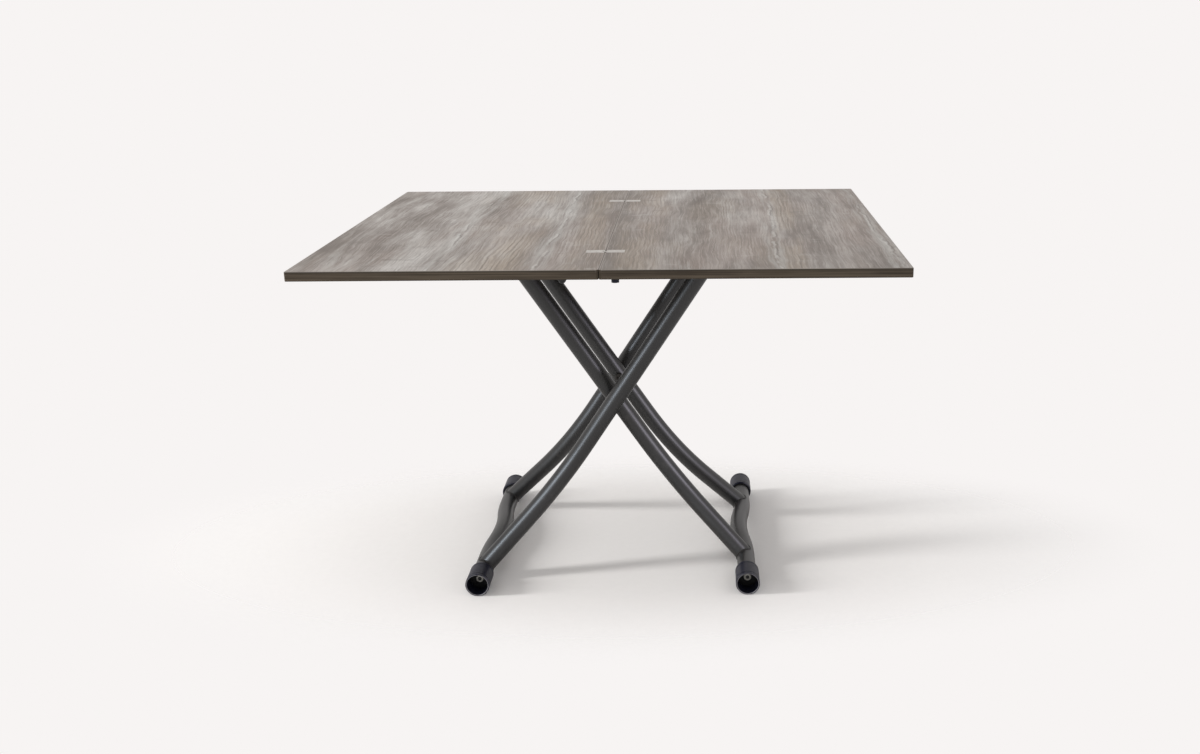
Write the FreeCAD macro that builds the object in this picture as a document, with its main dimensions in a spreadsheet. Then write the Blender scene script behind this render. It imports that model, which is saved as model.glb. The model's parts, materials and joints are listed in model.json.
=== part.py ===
import FreeCAD, Part
import Sketcher
import math
import os
import re

# Convertible coffee and dining table, in millimetres: X across the seam, Y along it, Z up.
# It stands raised, turned and opened. The origin is on the floor under the middle of the top.

# Driving sizes, a group for each part of the table.
DRIVING = {
    # Two leaves of faced board, each with a thick edging all round.
    "leaf_width": "570",
    "leaf_depth": "1000",
    "leaf_thickness": "18",
    "seam_gap": "0.5",
    "edging_thickness": "2",
    "edging_corner": "3",
    "edging_arris": "1.2",
    # Legs: bent round tubes, measured from the middle pivot.
    "leg_angle": "56.25",
    "lowered_angle": "15",
    "leg_radius": "19",
    "leg_wall": "2",
    "leg_arm": "384.6",
    "leg_top_gap": "8",
    "leg_straight": "110",
    "leg_bend_radius": "686",
    "leg_bend_angle": "18.54",
    "leg_bend_roll": "57",
    "leg_tail": "134",
    "inner_leg_spread": "86",
    "outer_leg_spread": "136",
    "base_shift": "-8",
    # Foot bars, bowed towards each other and a little upwards.
    "foot_half": "295",
    "bar_radius": "19.6",
    "bar_wall": "2",
    "bow_half": "150",
    "bow_depth": "12.4",
    "plug_length": "22",
    # Roller sleeves on the ends of the foot bars.
    "sleeve_radius": "25.5",
    "sleeve_length": "64",
    "sleeve_mouth_radius": "22.4",
    "sleeve_mouth_depth": "37",
    "sleeve_web": "5",
    "sleeve_taper": "2.5",
    "sleeve_lip": "0.9",
    "groove_width": "1.6",
    "groove_depth": "0.9",
    "groove_inset": "8",
    "foot_screw_radius": "4",
    "foot_screw_length": "20",
    "foot_screw_head_radius": "8.5",
    "foot_screw_head_height": "4",
    "foot_screw_bevel": "1.5",
    "foot_screw_socket_radius": "4.2",
    "foot_screw_socket_depth": "2.6",
    # Middle pivots between the two frames.
    "bush_radius": "9",
    "bush_stand": "3",
    "boss_depth": "36",
    "pivot_radius": "5",
    "pivot_head_radius": "9",
    "pivot_head_height": "5.5",
    "pivot_socket_radius": "3.5",
    "pivot_socket_depth": "3",
    "pivot_bolt_clear": "2",
    "washer_radius": "14",
    # Cross tubes and axles at the top of the frames.
    "cross_radius": "12.5",
    "cross_wall": "2.5",
    "axle_radius": "6",
    "axle_collar_radius": "9",
    "axle_collar_width": "5",
    "axle_head_radius": "9.5",
    "axle_head_height": "4",
    "axle_bush_length": "24",
    # Rails of the under frame and the rollers that run in them.
    "rail_inner": "160",
    "rail_outer": "182",
    "rail_height": "40",
    "rail_wall": "3",
    "rail_left_margin": "53",
    "rail_stop_gap": "6",
    "cross_width": "20",
    "cross_member_wall": "2",
    "roller_radius": "16.7",
    "roller_width": "14",
    "roller_groove_depth": "1.2",
    "roller_groove_width": "4",
    "roller_gap": "3",
    "roller_clip_radius": "8",
    "roller_clip_width": "1.2",
    "glide_radius": "10",
    "glide_inset": "35",
    "glide_bevel": "1.5",
    # Swivel between the under frame and the fixed leaf.
    "swivel_half": "100",
    "swivel_base_thickness": "4",
    "swivel_plate_thickness": "4",
    "swivel_corner": "14",
    "bearing_outer": "75",
    "bearing_inner": "32",
    "bearing_thickness": "3.9",
    "hub_radius": "20",
    "hub_tail": "3.8",
    "hub_groove_depth": "1.5",
    "retainer_radius": "28",
    "retainer_thickness": "2",
    "swivel_screw_inset": "15",
    "swivel_screw_radius": "2.2",
    "swivel_screw_length": "13",
    "swivel_screw_head_radius": "4.5",
    "swivel_screw_head_height": "2.5",
    # Gas spring under the top.
    "lug_radius": "62",
    "lug_width": "9",
    "lug_thickness": "3",
    "lug_pin_radius": "4",
    "lug_pin_stand": "1.5",
    "spring_inset": "20",
    "spring_eye_radius": "9",
    "spring_eye_half": "8.5",
    "cylinder_radius": "11",
    "cylinder_bore": "9",
    "cylinder_base": "3",
    "cylinder_neck_radius": "7",
    "cylinder_length": "202",
    "gland_length": "6",
    "spring_rod_radius": "5",
    "piston_radius": "8.92",
    "piston_length": "10",
    "rod_eye_radius": "11.5",
    "rod_eye_half": "7",
    "rod_eye_slot": "2.3",
    "bracket_thickness": "3",
    "bracket_half": "15",
    # Height release lever on the front rail.
    "lever_x": "-92",
    "lever_drop": "16",
    "lever_stand": "13",
    "lever_length": "50",
    "lever_rod_radius": "4",
    "lever_eye_radius": "6",
    "lever_eye_half": "8",
    "lever_tail_height": "20",
    "lever_tail_half": "3",
    "lever_pin_radius": "3",
    "lever_cheek": "3",
    "lever_base_half": "14",
    "grip_radius": "7.8",
    "grip_waist": "6.4",
    "grip_length": "48",
    "grip_end": "5",
    "grip_overlap": "12",
    # Flush hinges between the leaves, each with a link and two pins.
    "hinge_inset": "178",
    "hinge_half": "13",
    "hinge_reach": "37.5",
    "hinge_thickness": "3.6",
    "hinge_pin_inset": "3",
    "hinge_pin_radius": "1",
    "link_half": "5",
    "link_clear": "0.3",
    "hinge_screw_near": "17",
    "hinge_screw_far": "30",
    "hinge_screw_side": "7",
    "hinge_screw_radius": "1.6",
    "hinge_screw_head_radius": "3.2",
    "hinge_screw_head_height": "1.7",
    "hinge_screw_length": "13",
    # Turn buttons under the fixed leaf that hold the opened leaf level.
    "catch_x": "29",
    "catch_inset": "15",
    "catch_radius": "7.2",
    "catch_height": "8",
    "catch_arm_length": "42",
    "catch_arm_thickness": "4",
    "catch_screw_radius": "2.5",
    "catch_screw_length": "20",
    "catch_screw_head_radius": "4.4",
    "catch_screw_head_height": "2.5",
    # Clearances: sliding and turning fits, pressed fits, ends that pass each other, cutter overrun.
    "running_clearance": "0.08",
    "press_clearance": "0.02",
    "end_clearance": "0.3",
    "overrun": "2",
}

# Places and sizes that follow from the driving sizes.
DERIVED = {
    "half_fold": "(leg_angle - lowered_angle) / 2",
    "foot_reach": "leg_straight + leg_bend_radius * sin(leg_bend_angle) + leg_tail * cos(leg_bend_angle)",
    "bend_offset": "leg_bend_radius * (1 - cos(leg_bend_angle)) + leg_tail * sin(leg_bend_angle)",
    "bend_out": "bend_offset * cos(leg_bend_roll)",
    "foot_spread": "foot_reach * cos(leg_angle) + bend_out * sin(leg_angle)",
    "foot_level": "sleeve_radius",
    "pivot_level": "foot_level + foot_reach * sin(leg_angle) - bend_out * cos(leg_angle)",
    "axle_level": "pivot_level + leg_arm * sin(leg_angle)",
    "axle_spread": "leg_arm * cos(leg_angle)",
    "fold_shift": "leg_arm * (cos(lowered_angle) - cos(leg_angle))",
    "inner_foot_x": "base_shift + foot_spread",
    "outer_foot_x": "base_shift - foot_spread",
    "inner_axle_x": "base_shift - axle_spread",
    "outer_axle_x": "base_shift + axle_spread",
    "sleeve_start": "foot_half - sleeve_length",
    "web_start": "sleeve_length - sleeve_mouth_depth - sleeve_web",
    "bar_end": "foot_half - sleeve_mouth_depth - sleeve_web - end_clearance",
    "bar_bore": "bar_radius - bar_wall",
    "bow_turn": "2 * atan(bow_depth / bow_half)",
    "bow_radius": "bow_half / 2 / sin(bow_turn)",
    "leg_run": "leg_arm - leg_top_gap + leg_straight",
    "inner_cross_half": "inner_leg_spread + leg_radius",
    "outer_cross_half": "outer_leg_spread + leg_radius",
    "cross_bore": "cross_radius - cross_wall",
    "rail_top": "axle_level + rail_height / 2",
    "rail_bottom": "axle_level - rail_height / 2",
    "rail_left": "inner_axle_x - rail_left_margin",
    "rail_right": "outer_axle_x + 2 * fold_shift + roller_radius + rail_stop_gap + cross_width",
    "rail_web": "rail_outer - rail_wall",
    "roller_start": "rail_inner + roller_gap",
    "roller_end": "roller_start + roller_width",
    "swivel_base_top": "rail_top + swivel_base_thickness",
    "swivel_plate_low": "swivel_base_top + bearing_thickness + press_clearance",
    "leaf_low": "swivel_plate_low + swivel_plate_thickness",
    "top_level": "leaf_low + leaf_thickness",
    "seam_half": "seam_gap / 2",
    "leaf_middle": "seam_half + leaf_width / 2",
    "lowered_middle": "base_shift + fold_shift",
    "swivel_x": "(leaf_middle + lowered_middle) / 2",
    "swivel_y": "(leaf_middle - lowered_middle) / 2",
    "hub_low": "rail_top - hub_tail",
    "retainer_low": "rail_top - end_clearance - retainer_thickness",
    "lug_x": "inner_axle_x - lug_radius * sin(half_fold)",
    "lug_level": "axle_level - lug_radius * cos(half_fold)",
    "lug_inside": "rod_eye_half + end_clearance",
    "spring_level": "axle_level - lug_radius * (1 + cos(half_fold)) / 2",
    "spring_x": "swivel_x - swivel_half + spring_inset",
    "spring_length": "spring_x - lug_x",
    "spring_inside": "spring_eye_half + end_clearance",
    "cylinder_start": "bracket_half + end_clearance",
    "lever_y": "-(rail_outer + lever_stand)",
    "lever_level": "axle_level - lever_drop",
    "lever_inside": "lever_eye_half + end_clearance",
    "hinge_place": "leaf_depth / 2 - hinge_inset",
    "hinge_pin_x": "seam_half + hinge_pin_inset",
    "hinge_pin_level": "top_level - hinge_thickness / 2",
    "hinge_low": "top_level - hinge_thickness",
    "catch_place": "leaf_depth / 2 - catch_inset",
    "catch_top": "leaf_low - end_clearance",
    "catch_low": "leaf_low - catch_height",
}

doc = FreeCAD.newDocument("ConvertibleTable")
owner = {}
nodes = []
ACROSS_SEAM = FreeCAD.Vector(1, 0, 0)
FRONT_TO_REAR = FreeCAD.Vector(0, 1, 0)


def terms(formula):
    """Puts the name of its sheet before each alias of a formula."""
    return re.sub(r"[a-z][a-z_]*", lambda word: owner.get(word.group(), "") + word.group(), formula)


def write_sheet(name, cells, prefix):
    """Fills a sheet with one named cell for each size."""
    sheet = doc.addObject("Spreadsheet::Sheet", name)
    for row, (alias, text) in enumerate(cells.items(), 1):
        sheet.set(f"A{row}", alias)
        sheet.set(f"B{row}", prefix + terms(text))
        sheet.setAlias(f"B{row}", alias)
        owner[alias] = name + "."
    doc.recompute()
    return sheet


sizes = write_sheet("Sizes", DRIVING, "")
write_sheet("Places", DERIVED, "=")


def value(formula):
    """The number that a formula gives now."""
    result = sizes.evalExpression(terms(formula))
    return float(getattr(result, "Value", result))


def bind(thing, **formulas):
    """Ties properties of a thing to the sheets."""
    for name, formula in formulas.items():
        thing.setExpression(name, terms(formula))


def stand(thing, x="0", y="0", z="0", turn="rotationx(0)"):
    """Ties the place of a thing to the sheets."""
    thing.setExpression("Placement", terms(f"placement(vector({x}; {y}; {z}); {turn})"))


def block(name, x, y, z):
    """A box between two bounds on each axis."""
    solid = doc.addObject("Part::Box", name)
    bind(
        solid,
        Length=f"({x[1]}) - ({x[0]})",
        Width=f"({y[1]}) - ({y[0]})",
        Height=f"({z[1]}) - ({z[0]})",
    )
    stand(solid, x[0], y[0], z[0])
    return solid


def rod(name, axis, centre, reach, radius):
    """A cylinder along an axis, through a centre given on the other two axes."""
    solid = doc.addObject("Part::Cylinder", name)
    bind(solid, Radius=radius, Height=f"({reach[1]}) - ({reach[0]})")
    if axis == "X":
        stand(solid, reach[0], centre[0], centre[1], "rotationy(90)")
    elif axis == "Y":
        stand(solid, centre[0], reach[0], centre[1], "rotationx(-90)")
    else:
        stand(solid, centre[0], centre[1], reach[0])
    return solid


def cone(name, centre, low, height, low_radius, high_radius):
    """A cone frustum that stands on a height."""
    solid = doc.addObject("Part::Cone", name)
    bind(solid, Radius1=low_radius, Radius2=high_radius, Height=height)
    stand(solid, centre[0], centre[1], low)
    return solid


def join(name, *pieces):
    """Pieces welded into one solid."""
    solid = doc.addObject("Part::MultiFuse", name)
    solid.Shapes = list(pieces)
    solid.Refine = True
    return solid


def cut(name, base, *tools):
    """A piece with other shapes taken out of it."""
    solid = doc.addObject("Part::Cut", name)
    solid.Base = base
    solid.Tool = tools[0] if len(tools) == 1 else join(name + "_cutters", *tools)
    return solid


def group(name, *pieces):
    """Like pieces that stay separate solids."""
    compound = doc.addObject("Part::Compound", name)
    compound.Links = list(pieces)
    return compound


def mirrored(name, piece, normal=FRONT_TO_REAR):
    """The opposite hand of a piece."""
    twin = doc.addObject("Part::Mirroring", name)
    twin.Source = piece
    twin.Normal = normal
    return twin


def pair(name, front):
    """A front piece and its rear twin."""
    return group(name, front, mirrored(name + "_rear", front))


def node(label, piece):
    """Names a finished sub-part."""
    piece.Label = label
    nodes.append(piece)
    return piece


def sketch_on(body, role, name):
    """A sketch on one of the origin planes of a body."""
    plane = next(item for item in body.Origin.OriginFeatures if item.Role == role)
    sketch = body.newObject("Sketcher::SketchObject", name)
    sketch.AttachmentSupport = [(plane, "")]
    sketch.MapMode = "FlatFace"
    return sketch


def measure(sketch, formula, kind, *ends):
    """Adds a measured constraint and ties it to the sheets."""
    index = sketch.addConstraint(Sketcher.Constraint(kind, *ends, value(formula)))
    sketch.setExpression(f"Constraints[{index}]", terms(formula))


def tie(sketch, curve, end, spot):
    """Holds a point of a sketch at its two coordinates."""
    for kind, formula, axis in (("DistanceX", spot[0], -2), ("DistanceY", spot[1], -1)):
        if formula == "0":
            sketch.addConstraint(Sketcher.Constraint("PointOnObject", curve, end, axis))
        elif value(formula) > 0:
            measure(sketch, formula, kind, -1, 1, curve, end)
        else:
            measure(sketch, f"-({formula})", kind, curve, end, -1, 1)


def outline(sketch, corners):
    """A closed outline of straight lines through corners."""
    spots = [FreeCAD.Vector(value(across), value(along), 0) for across, along in corners]
    first = sketch.GeometryCount
    for index, spot in enumerate(spots):
        sketch.addGeometry(Part.LineSegment(spot, spots[(index + 1) % len(spots)]), False)
    for index, corner in enumerate(corners):
        follower = first + (index + 1) % len(corners)
        sketch.addConstraint(Sketcher.Constraint("Coincident", first + index, 2, follower, 1))
        tie(sketch, first + index, 1, corner)


def circle(sketch, centre, radius):
    """A circle with its centre and radius tied to the sheets."""
    middle = FreeCAD.Vector(value(centre[0]), value(centre[1]), 0)
    index = sketch.addGeometry(Part.Circle(middle, FreeCAD.Vector(0, 0, 1), value(radius)), False)
    tie(sketch, index, 3, centre)
    measure(sketch, radius, "Radius", index)


def turned(name, profile, x, y, z, turn="rotationx(0)"):
    """A body turned about its own Z axis, from an outline of radius and height."""
    body = doc.addObject("PartDesign::Body", name)
    sketch = sketch_on(body, "XZ_Plane", name + "_profile")
    outline(sketch, profile)
    revolution = body.newObject("PartDesign::Revolution", name + "_turning")
    revolution.Profile = sketch
    revolution.ReferenceAxis = (sketch, ["V_Axis"])
    revolution.Angle = 360
    stand(body, x, y, z, turn)
    return body


def extruded(name, role, outlines, holes, length, x="0", y="0", z="0", turn="rotationx(0)"):
    """A body padded from outlines and round holes on an origin plane."""
    body = doc.addObject("PartDesign::Body", name)
    sketch = sketch_on(body, role, name + "_profile")
    for corners in outlines:
        outline(sketch, corners)
    for centre, radius in holes:
        circle(sketch, centre, radius)
    padding = body.newObject("PartDesign::Pad", name + "_pad")
    padding.Profile = sketch
    bind(padding, Length=length)
    stand(body, x, y, z, turn)
    return body


def swept(name, spine, profile_role, radii, body):
    """A body that sweeps circles along the edges of a spine sketch."""
    profile = sketch_on(body, profile_role, name + "_profile")
    for radius in radii:
        circle(profile, ("0", "0"), radius)
    pipe = body.newObject("PartDesign::AdditivePipe", name + "_pipe")
    pipe.Profile = profile
    pipe.Spine = (spine, [f"Edge{index + 1}" for index in range(spine.GeometryCount)])
    return body


def rounded_edges(body, name, radius, chosen):
    """Rounds the edges of a body that a test chooses."""
    doc.recompute()
    base = body.Tip
    edges = [f"Edge{index}" for index, edge in enumerate(base.Shape.Edges, 1) if chosen(edge)]
    fillet = body.newObject("PartDesign::Fillet", name)
    fillet.Base = (base, edges)
    bind(fillet, Radius=radius)


# Legs

def leg_tube(name, x, side, turn):
    """A leg tube from its top end: a straight run, one long bend and a straight tail."""
    body = doc.addObject("PartDesign::Body", name)
    spine = sketch_on(body, "XZ_Plane", name + "_spine")
    run = value("leg_run")
    radius = value("leg_bend_radius")
    bend = math.radians(value("leg_bend_angle"))
    tail = value("leg_tail")
    corner = FreeCAD.Vector(run, 0, 0)
    bent = corner + FreeCAD.Vector(math.sin(bend), 1 - math.cos(bend), 0) * radius
    toe = bent + FreeCAD.Vector(math.cos(bend), math.sin(bend), 0) * tail
    bend_circle = Part.Circle(FreeCAD.Vector(run, radius, 0), FreeCAD.Vector(0, 0, 1), radius)
    spine.addGeometry(Part.LineSegment(FreeCAD.Vector(0, 0, 0), corner), False)
    spine.addGeometry(Part.ArcOfCircle(bend_circle, -math.pi / 2, bend - math.pi / 2), False)
    spine.addGeometry(Part.LineSegment(bent, toe), False)
    spine.addConstraint(Sketcher.Constraint("Coincident", 0, 1, -1, 1))
    spine.addConstraint(Sketcher.Constraint("Horizontal", 0))
    measure(spine, "leg_run", "DistanceX", 0, 1, 0, 2)
    spine.addConstraint(Sketcher.Constraint("Tangent", 0, 2, 1, 1))
    measure(spine, "leg_bend_radius", "Radius", 1)
    spine.addConstraint(Sketcher.Constraint("Tangent", 1, 2, 2, 1))
    angle = spine.addConstraint(Sketcher.Constraint("Angle", 2, bend))
    spine.setExpression(f"Constraints[{angle}]", terms("leg_bend_angle * 1 deg"))
    measure(spine, "leg_tail", "Distance", 2)
    swept(name, spine, "YZ_Plane", ["leg_radius", "leg_radius - leg_wall"], body)
    stand(body, x, side, "axle_level - leg_top_gap * sin(leg_angle)", turn)
    return body


inner_tube = leg_tube(
    "inner_leg_tube",
    "inner_axle_x + leg_top_gap * cos(leg_angle)",
    "-inner_leg_spread",
    "rotationy(leg_angle) * rotationx(leg_bend_roll)",
)
outer_tube = leg_tube(
    "outer_leg_tube",
    "outer_axle_x - leg_top_gap * cos(leg_angle)",
    "-outer_leg_spread",
    "rotationy(180 - leg_angle) * rotationx(180 - leg_bend_roll)",
)


# Foot bars

def bar_pipe(name, radius, x, y, turn):
    """A full round bar along a foot: straight ends and a shallow bow of three tangent arcs.

    The bow is tilted up by half the fold, so it stays off the floor when the frame is lowered."""
    body = doc.addObject("PartDesign::Body", name)
    spine = sketch_on(body, "XY_Plane", name + "_spine")
    straight = value("bar_end - bow_half")
    half = value("bow_half")
    bow = value("bow_depth")
    bend = value("bow_radius")
    turned_by = math.radians(value("bow_turn"))
    upward = FreeCAD.Vector(0, 0, 1)
    near = Part.Circle(FreeCAD.Vector(-bend, straight, 0), upward, bend)
    middle = Part.Circle(FreeCAD.Vector(bend - bow, straight + half, 0), upward, bend)
    far = Part.Circle(FreeCAD.Vector(-bend, straight + 2 * half, 0), upward, bend)
    start = FreeCAD.Vector(0, 0, 0)
    far_start = FreeCAD.Vector(0, straight + 2 * half, 0)
    end = FreeCAD.Vector(0, 2 * (straight + half), 0)
    spine.addGeometry(Part.LineSegment(start, FreeCAD.Vector(0, straight, 0)), False)
    spine.addGeometry(Part.ArcOfCircle(near, 0, turned_by), False)
    spine.addGeometry(Part.ArcOfCircle(middle, math.pi - turned_by, math.pi + turned_by), False)
    spine.addGeometry(Part.ArcOfCircle(far, -turned_by, 0), False)
    spine.addGeometry(Part.LineSegment(far_start, end), False)
    spine.addConstraint(Sketcher.Constraint("Coincident", 0, 1, -1, 1))
    spine.addConstraint(Sketcher.Constraint("Vertical", 0))
    measure(spine, "bar_end - bow_half", "DistanceY", 0, 1, 0, 2)
    spine.addConstraint(Sketcher.Constraint("Tangent", 0, 2, 1, 1))
    spine.addConstraint(Sketcher.Constraint("Tangent", 1, 2, 2, 2))
    spine.addConstraint(Sketcher.Constraint("Tangent", 2, 1, 3, 1))
    spine.addConstraint(Sketcher.Constraint("Tangent", 3, 2, 4, 1))
    for arc in (1, 2, 3):
        measure(spine, "bow_radius", "Radius", arc)
    measure(spine, "bow_half / 2", "DistanceY", 1, 1, 1, 2)
    measure(spine, "bow_half", "DistanceY", 2, 2, 2, 1)
    measure(spine, "bar_end - bow_half", "DistanceY", 4, 1, 4, 2)
    swept(name, spine, "XZ_Plane", [radius], body)
    stand(body, x, y, "foot_level", turn)
    return body


inner_bar_place = ("inner_foot_x", "-bar_end", "rotationy(half_fold)")
outer_bar_place = ("outer_foot_x", "bar_end", "rotationy(-half_fold) * rotationz(180)")
inner_core = bar_pipe("inner_bar_core", "bar_radius", *inner_bar_place)
inner_bore = bar_pipe("inner_bar_bore", "bar_bore", *inner_bar_place)
outer_core = bar_pipe("outer_bar_core", "bar_radius", *outer_bar_place)
outer_bore = bar_pipe("outer_bar_bore", "bar_bore", *outer_bar_place)
node("inner_foot_bar", cut("inner_foot_bar", inner_core, inner_bore))
node("outer_foot_bar", cut("outer_foot_bar", outer_core, outer_bore))


# Legs cut to meet their foot bar, cross tube and pivot bush

PIVOT = ("base_shift", "pivot_level")
inner_bush_reach = (
    "-(inner_leg_spread + leg_radius + bush_stand)",
    "-(inner_leg_spread - leg_radius - bush_stand)",
)
boss_start = "outer_leg_spread - leg_radius - bush_stand"
outer_boss_reach = (f"-({boss_start} + boss_depth)", f"-({boss_start})")
inner_cross_reach = ("-inner_cross_half", "inner_cross_half")
outer_cross_reach = ("-outer_cross_half", "outer_cross_half")
inner_axle = ("inner_axle_x", "axle_level")
outer_axle = ("outer_axle_x", "axle_level")

inner_leg = cut(
    "inner_leg_front",
    inner_tube,
    inner_core,
    rod("inner_leg_cope", "Y", inner_axle, inner_cross_reach, "cross_radius"),
    rod("inner_leg_hole", "Y", PIVOT, inner_bush_reach, "bush_radius"),
)
outer_leg = cut(
    "outer_leg_front",
    outer_tube,
    outer_core,
    rod("outer_leg_cope", "Y", outer_axle, outer_cross_reach, "cross_radius"),
    rod("outer_leg_hole", "Y", PIVOT, outer_boss_reach, "bush_radius"),
)
node("inner_leg_front", inner_leg)
node("inner_leg_rear", mirrored("inner_leg_rear", inner_leg))
node("outer_leg_front", outer_leg)
node("outer_leg_rear", mirrored("outer_leg_rear", outer_leg))


# Middle pivots: a through bush in the inner leg, a blind boss in the outer leg, one bolt

inner_bush = cut(
    "inner_bush",
    rod("inner_bush_body", "Y", PIVOT, inner_bush_reach, "bush_radius"),
    rod(
        "inner_bush_bore",
        "Y",
        PIVOT,
        (f"{inner_bush_reach[0]} - overrun", f"{inner_bush_reach[1]} + overrun"),
        "pivot_radius + running_clearance",
    ),
)
node("inner_pivot_bushes", pair("inner_pivot_bushes", inner_bush))

bolt_tip = f"{boss_start} + boss_depth - overrun"
outer_boss = cut(
    "outer_boss",
    rod("outer_boss_body", "Y", PIVOT, outer_boss_reach, "bush_radius"),
    rod(
        "outer_boss_bore",
        "Y",
        PIVOT,
        (f"-({bolt_tip})", f"-({boss_start}) + overrun"),
        "pivot_radius + press_clearance",
    ),
)
node("outer_pivot_bosses", pair("outer_pivot_bosses", outer_boss))

head_seat = "inner_leg_spread - leg_radius - bush_stand - end_clearance"
bolt_grip = f"{bolt_tip} - ({head_seat}) - pivot_bolt_clear"
bolt_length = f"{bolt_grip} + pivot_head_height"
pivot_bolt = turned(
    "pivot_bolt",
    [
        ("0", "0"),
        ("pivot_radius", "0"),
        ("pivot_radius", bolt_grip),
        ("pivot_head_radius", bolt_grip),
        ("pivot_head_radius", bolt_length),
        ("pivot_socket_radius", bolt_length),
        ("pivot_socket_radius", f"{bolt_length} - pivot_socket_depth"),
        ("0", f"{bolt_length} - pivot_socket_depth"),
    ],
    "base_shift",
    f"-({bolt_tip} - pivot_bolt_clear)",
    "pivot_level",
    "rotationx(-90)",
)
node("pivot_bolts", pair("pivot_bolts", pivot_bolt))

washer_reach = (
    f"-({boss_start})",
    "-(inner_leg_spread + leg_radius + bush_stand + end_clearance)",
)
pivot_washer = cut(
    "pivot_washer",
    rod("pivot_washer_body", "Y", PIVOT, washer_reach, "washer_radius"),
    rod(
        "pivot_washer_bore",
        "Y",
        PIVOT,
        (f"{washer_reach[0]} - overrun", f"{washer_reach[1]} + overrun"),
        "pivot_radius + press_clearance",
    ),
)
node("pivot_washers", pair("pivot_washers", pivot_washer))


# Sleeves, end plugs and sleeve screws on the foot bars

MOUTH_FLOOR = "sleeve_length - sleeve_mouth_depth"
SLEEVE_PROFILE = [
    ("bar_radius + running_clearance", "0"),
    ("sleeve_radius - sleeve_taper", "0"),
    ("sleeve_radius", "sleeve_taper"),
    ("sleeve_radius", "groove_inset"),
    ("sleeve_radius - groove_depth", "groove_inset"),
    ("sleeve_radius - groove_depth", "groove_inset + groove_width"),
    ("sleeve_radius", "groove_inset + groove_width"),
    ("sleeve_radius", "sleeve_length - groove_inset - groove_width"),
    ("sleeve_radius - groove_depth", "sleeve_length - groove_inset - groove_width"),
    ("sleeve_radius - groove_depth", "sleeve_length - groove_inset"),
    ("sleeve_radius", "sleeve_length - groove_inset"),
    ("sleeve_radius", "sleeve_length - sleeve_lip"),
    ("sleeve_radius - sleeve_lip", "sleeve_length"),
    ("sleeve_mouth_radius + sleeve_lip", "sleeve_length"),
    ("sleeve_mouth_radius", "sleeve_length - sleeve_lip"),
    ("sleeve_mouth_radius", MOUTH_FLOOR),
    ("foot_screw_radius + running_clearance", MOUTH_FLOOR),
    ("foot_screw_radius + running_clearance", "web_start"),
    ("bar_radius + running_clearance", "web_start"),
]
PLUG_PROFILE = [
    ("foot_screw_radius + press_clearance", "web_start - end_clearance - plug_length"),
    ("bar_bore - press_clearance", "web_start - end_clearance - plug_length"),
    ("bar_bore - press_clearance", "web_start - end_clearance"),
    ("foot_screw_radius + press_clearance", "web_start - end_clearance"),
]
SCREW_SEAT = f"{MOUTH_FLOOR} + end_clearance"
FOOT_SCREW_PROFILE = [
    ("0", f"{SCREW_SEAT} - foot_screw_length"),
    ("foot_screw_radius", f"{SCREW_SEAT} - foot_screw_length"),
    ("foot_screw_radius", SCREW_SEAT),
    ("foot_screw_head_radius", SCREW_SEAT),
    ("foot_screw_head_radius", f"{SCREW_SEAT} + foot_screw_head_height - foot_screw_bevel"),
    ("foot_screw_head_radius - foot_screw_bevel", f"{SCREW_SEAT} + foot_screw_head_height"),
    ("foot_screw_socket_radius", f"{SCREW_SEAT} + foot_screw_head_height"),
    ("foot_screw_socket_radius", f"{SCREW_SEAT} + foot_screw_head_height - foot_screw_socket_depth"),
    ("0", f"{SCREW_SEAT} + foot_screw_head_height - foot_screw_socket_depth"),
]
for frame_name, side_name, foot_x in (
    ("inner", "right", "inner_foot_x"),
    ("outer", "left", "outer_foot_x"),
):
    foot_place = (foot_x, "-sleeve_start", "foot_level", "rotationx(90)")
    sleeve = turned(f"{side_name}_sleeve_front", SLEEVE_PROFILE, *foot_place)
    node(f"{side_name}_sleeve_front", sleeve)
    node(f"{side_name}_sleeve_rear", mirrored(f"{side_name}_sleeve_rear", sleeve))
    plug = turned(f"{frame_name}_plug", PLUG_PROFILE, *foot_place)
    node(f"{frame_name}_bar_plugs", pair(f"{frame_name}_bar_plugs", plug))
    screw = turned(f"{frame_name}_foot_screw", FOOT_SCREW_PROFILE, *foot_place)
    node(f"{frame_name}_sleeve_screws", pair(f"{frame_name}_sleeve_screws", screw))


# Cross tubes, axles and guide rollers at the top of the frames

def cross_tube(name, centre, half):
    """A tube between the tops of two legs."""
    return cut(
        name,
        rod(name + "_outside", "Y", centre, (f"-{half}", half), "cross_radius"),
        rod(name + "_inside", "Y", centre, (f"-{half} - overrun", f"{half} + overrun"), "cross_bore"),
    )


node("inner_cross_tube", cross_tube("inner_cross_tube", inner_axle, "inner_cross_half"))
node("outer_cross_tube", cross_tube("outer_cross_tube", outer_axle, "outer_cross_half"))

axle_bush = cut(
    "axle_bush",
    rod(
        "axle_bush_body",
        "Y",
        inner_axle,
        ("-inner_cross_half", "axle_bush_length - inner_cross_half"),
        "cross_bore - press_clearance",
    ),
    rod(
        "axle_bush_bore",
        "Y",
        inner_axle,
        ("-inner_cross_half - overrun", "axle_bush_length - inner_cross_half + overrun"),
        "axle_radius + running_clearance",
    ),
)
node("inner_axle_bushes", pair("inner_axle_bushes", axle_bush))

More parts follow.
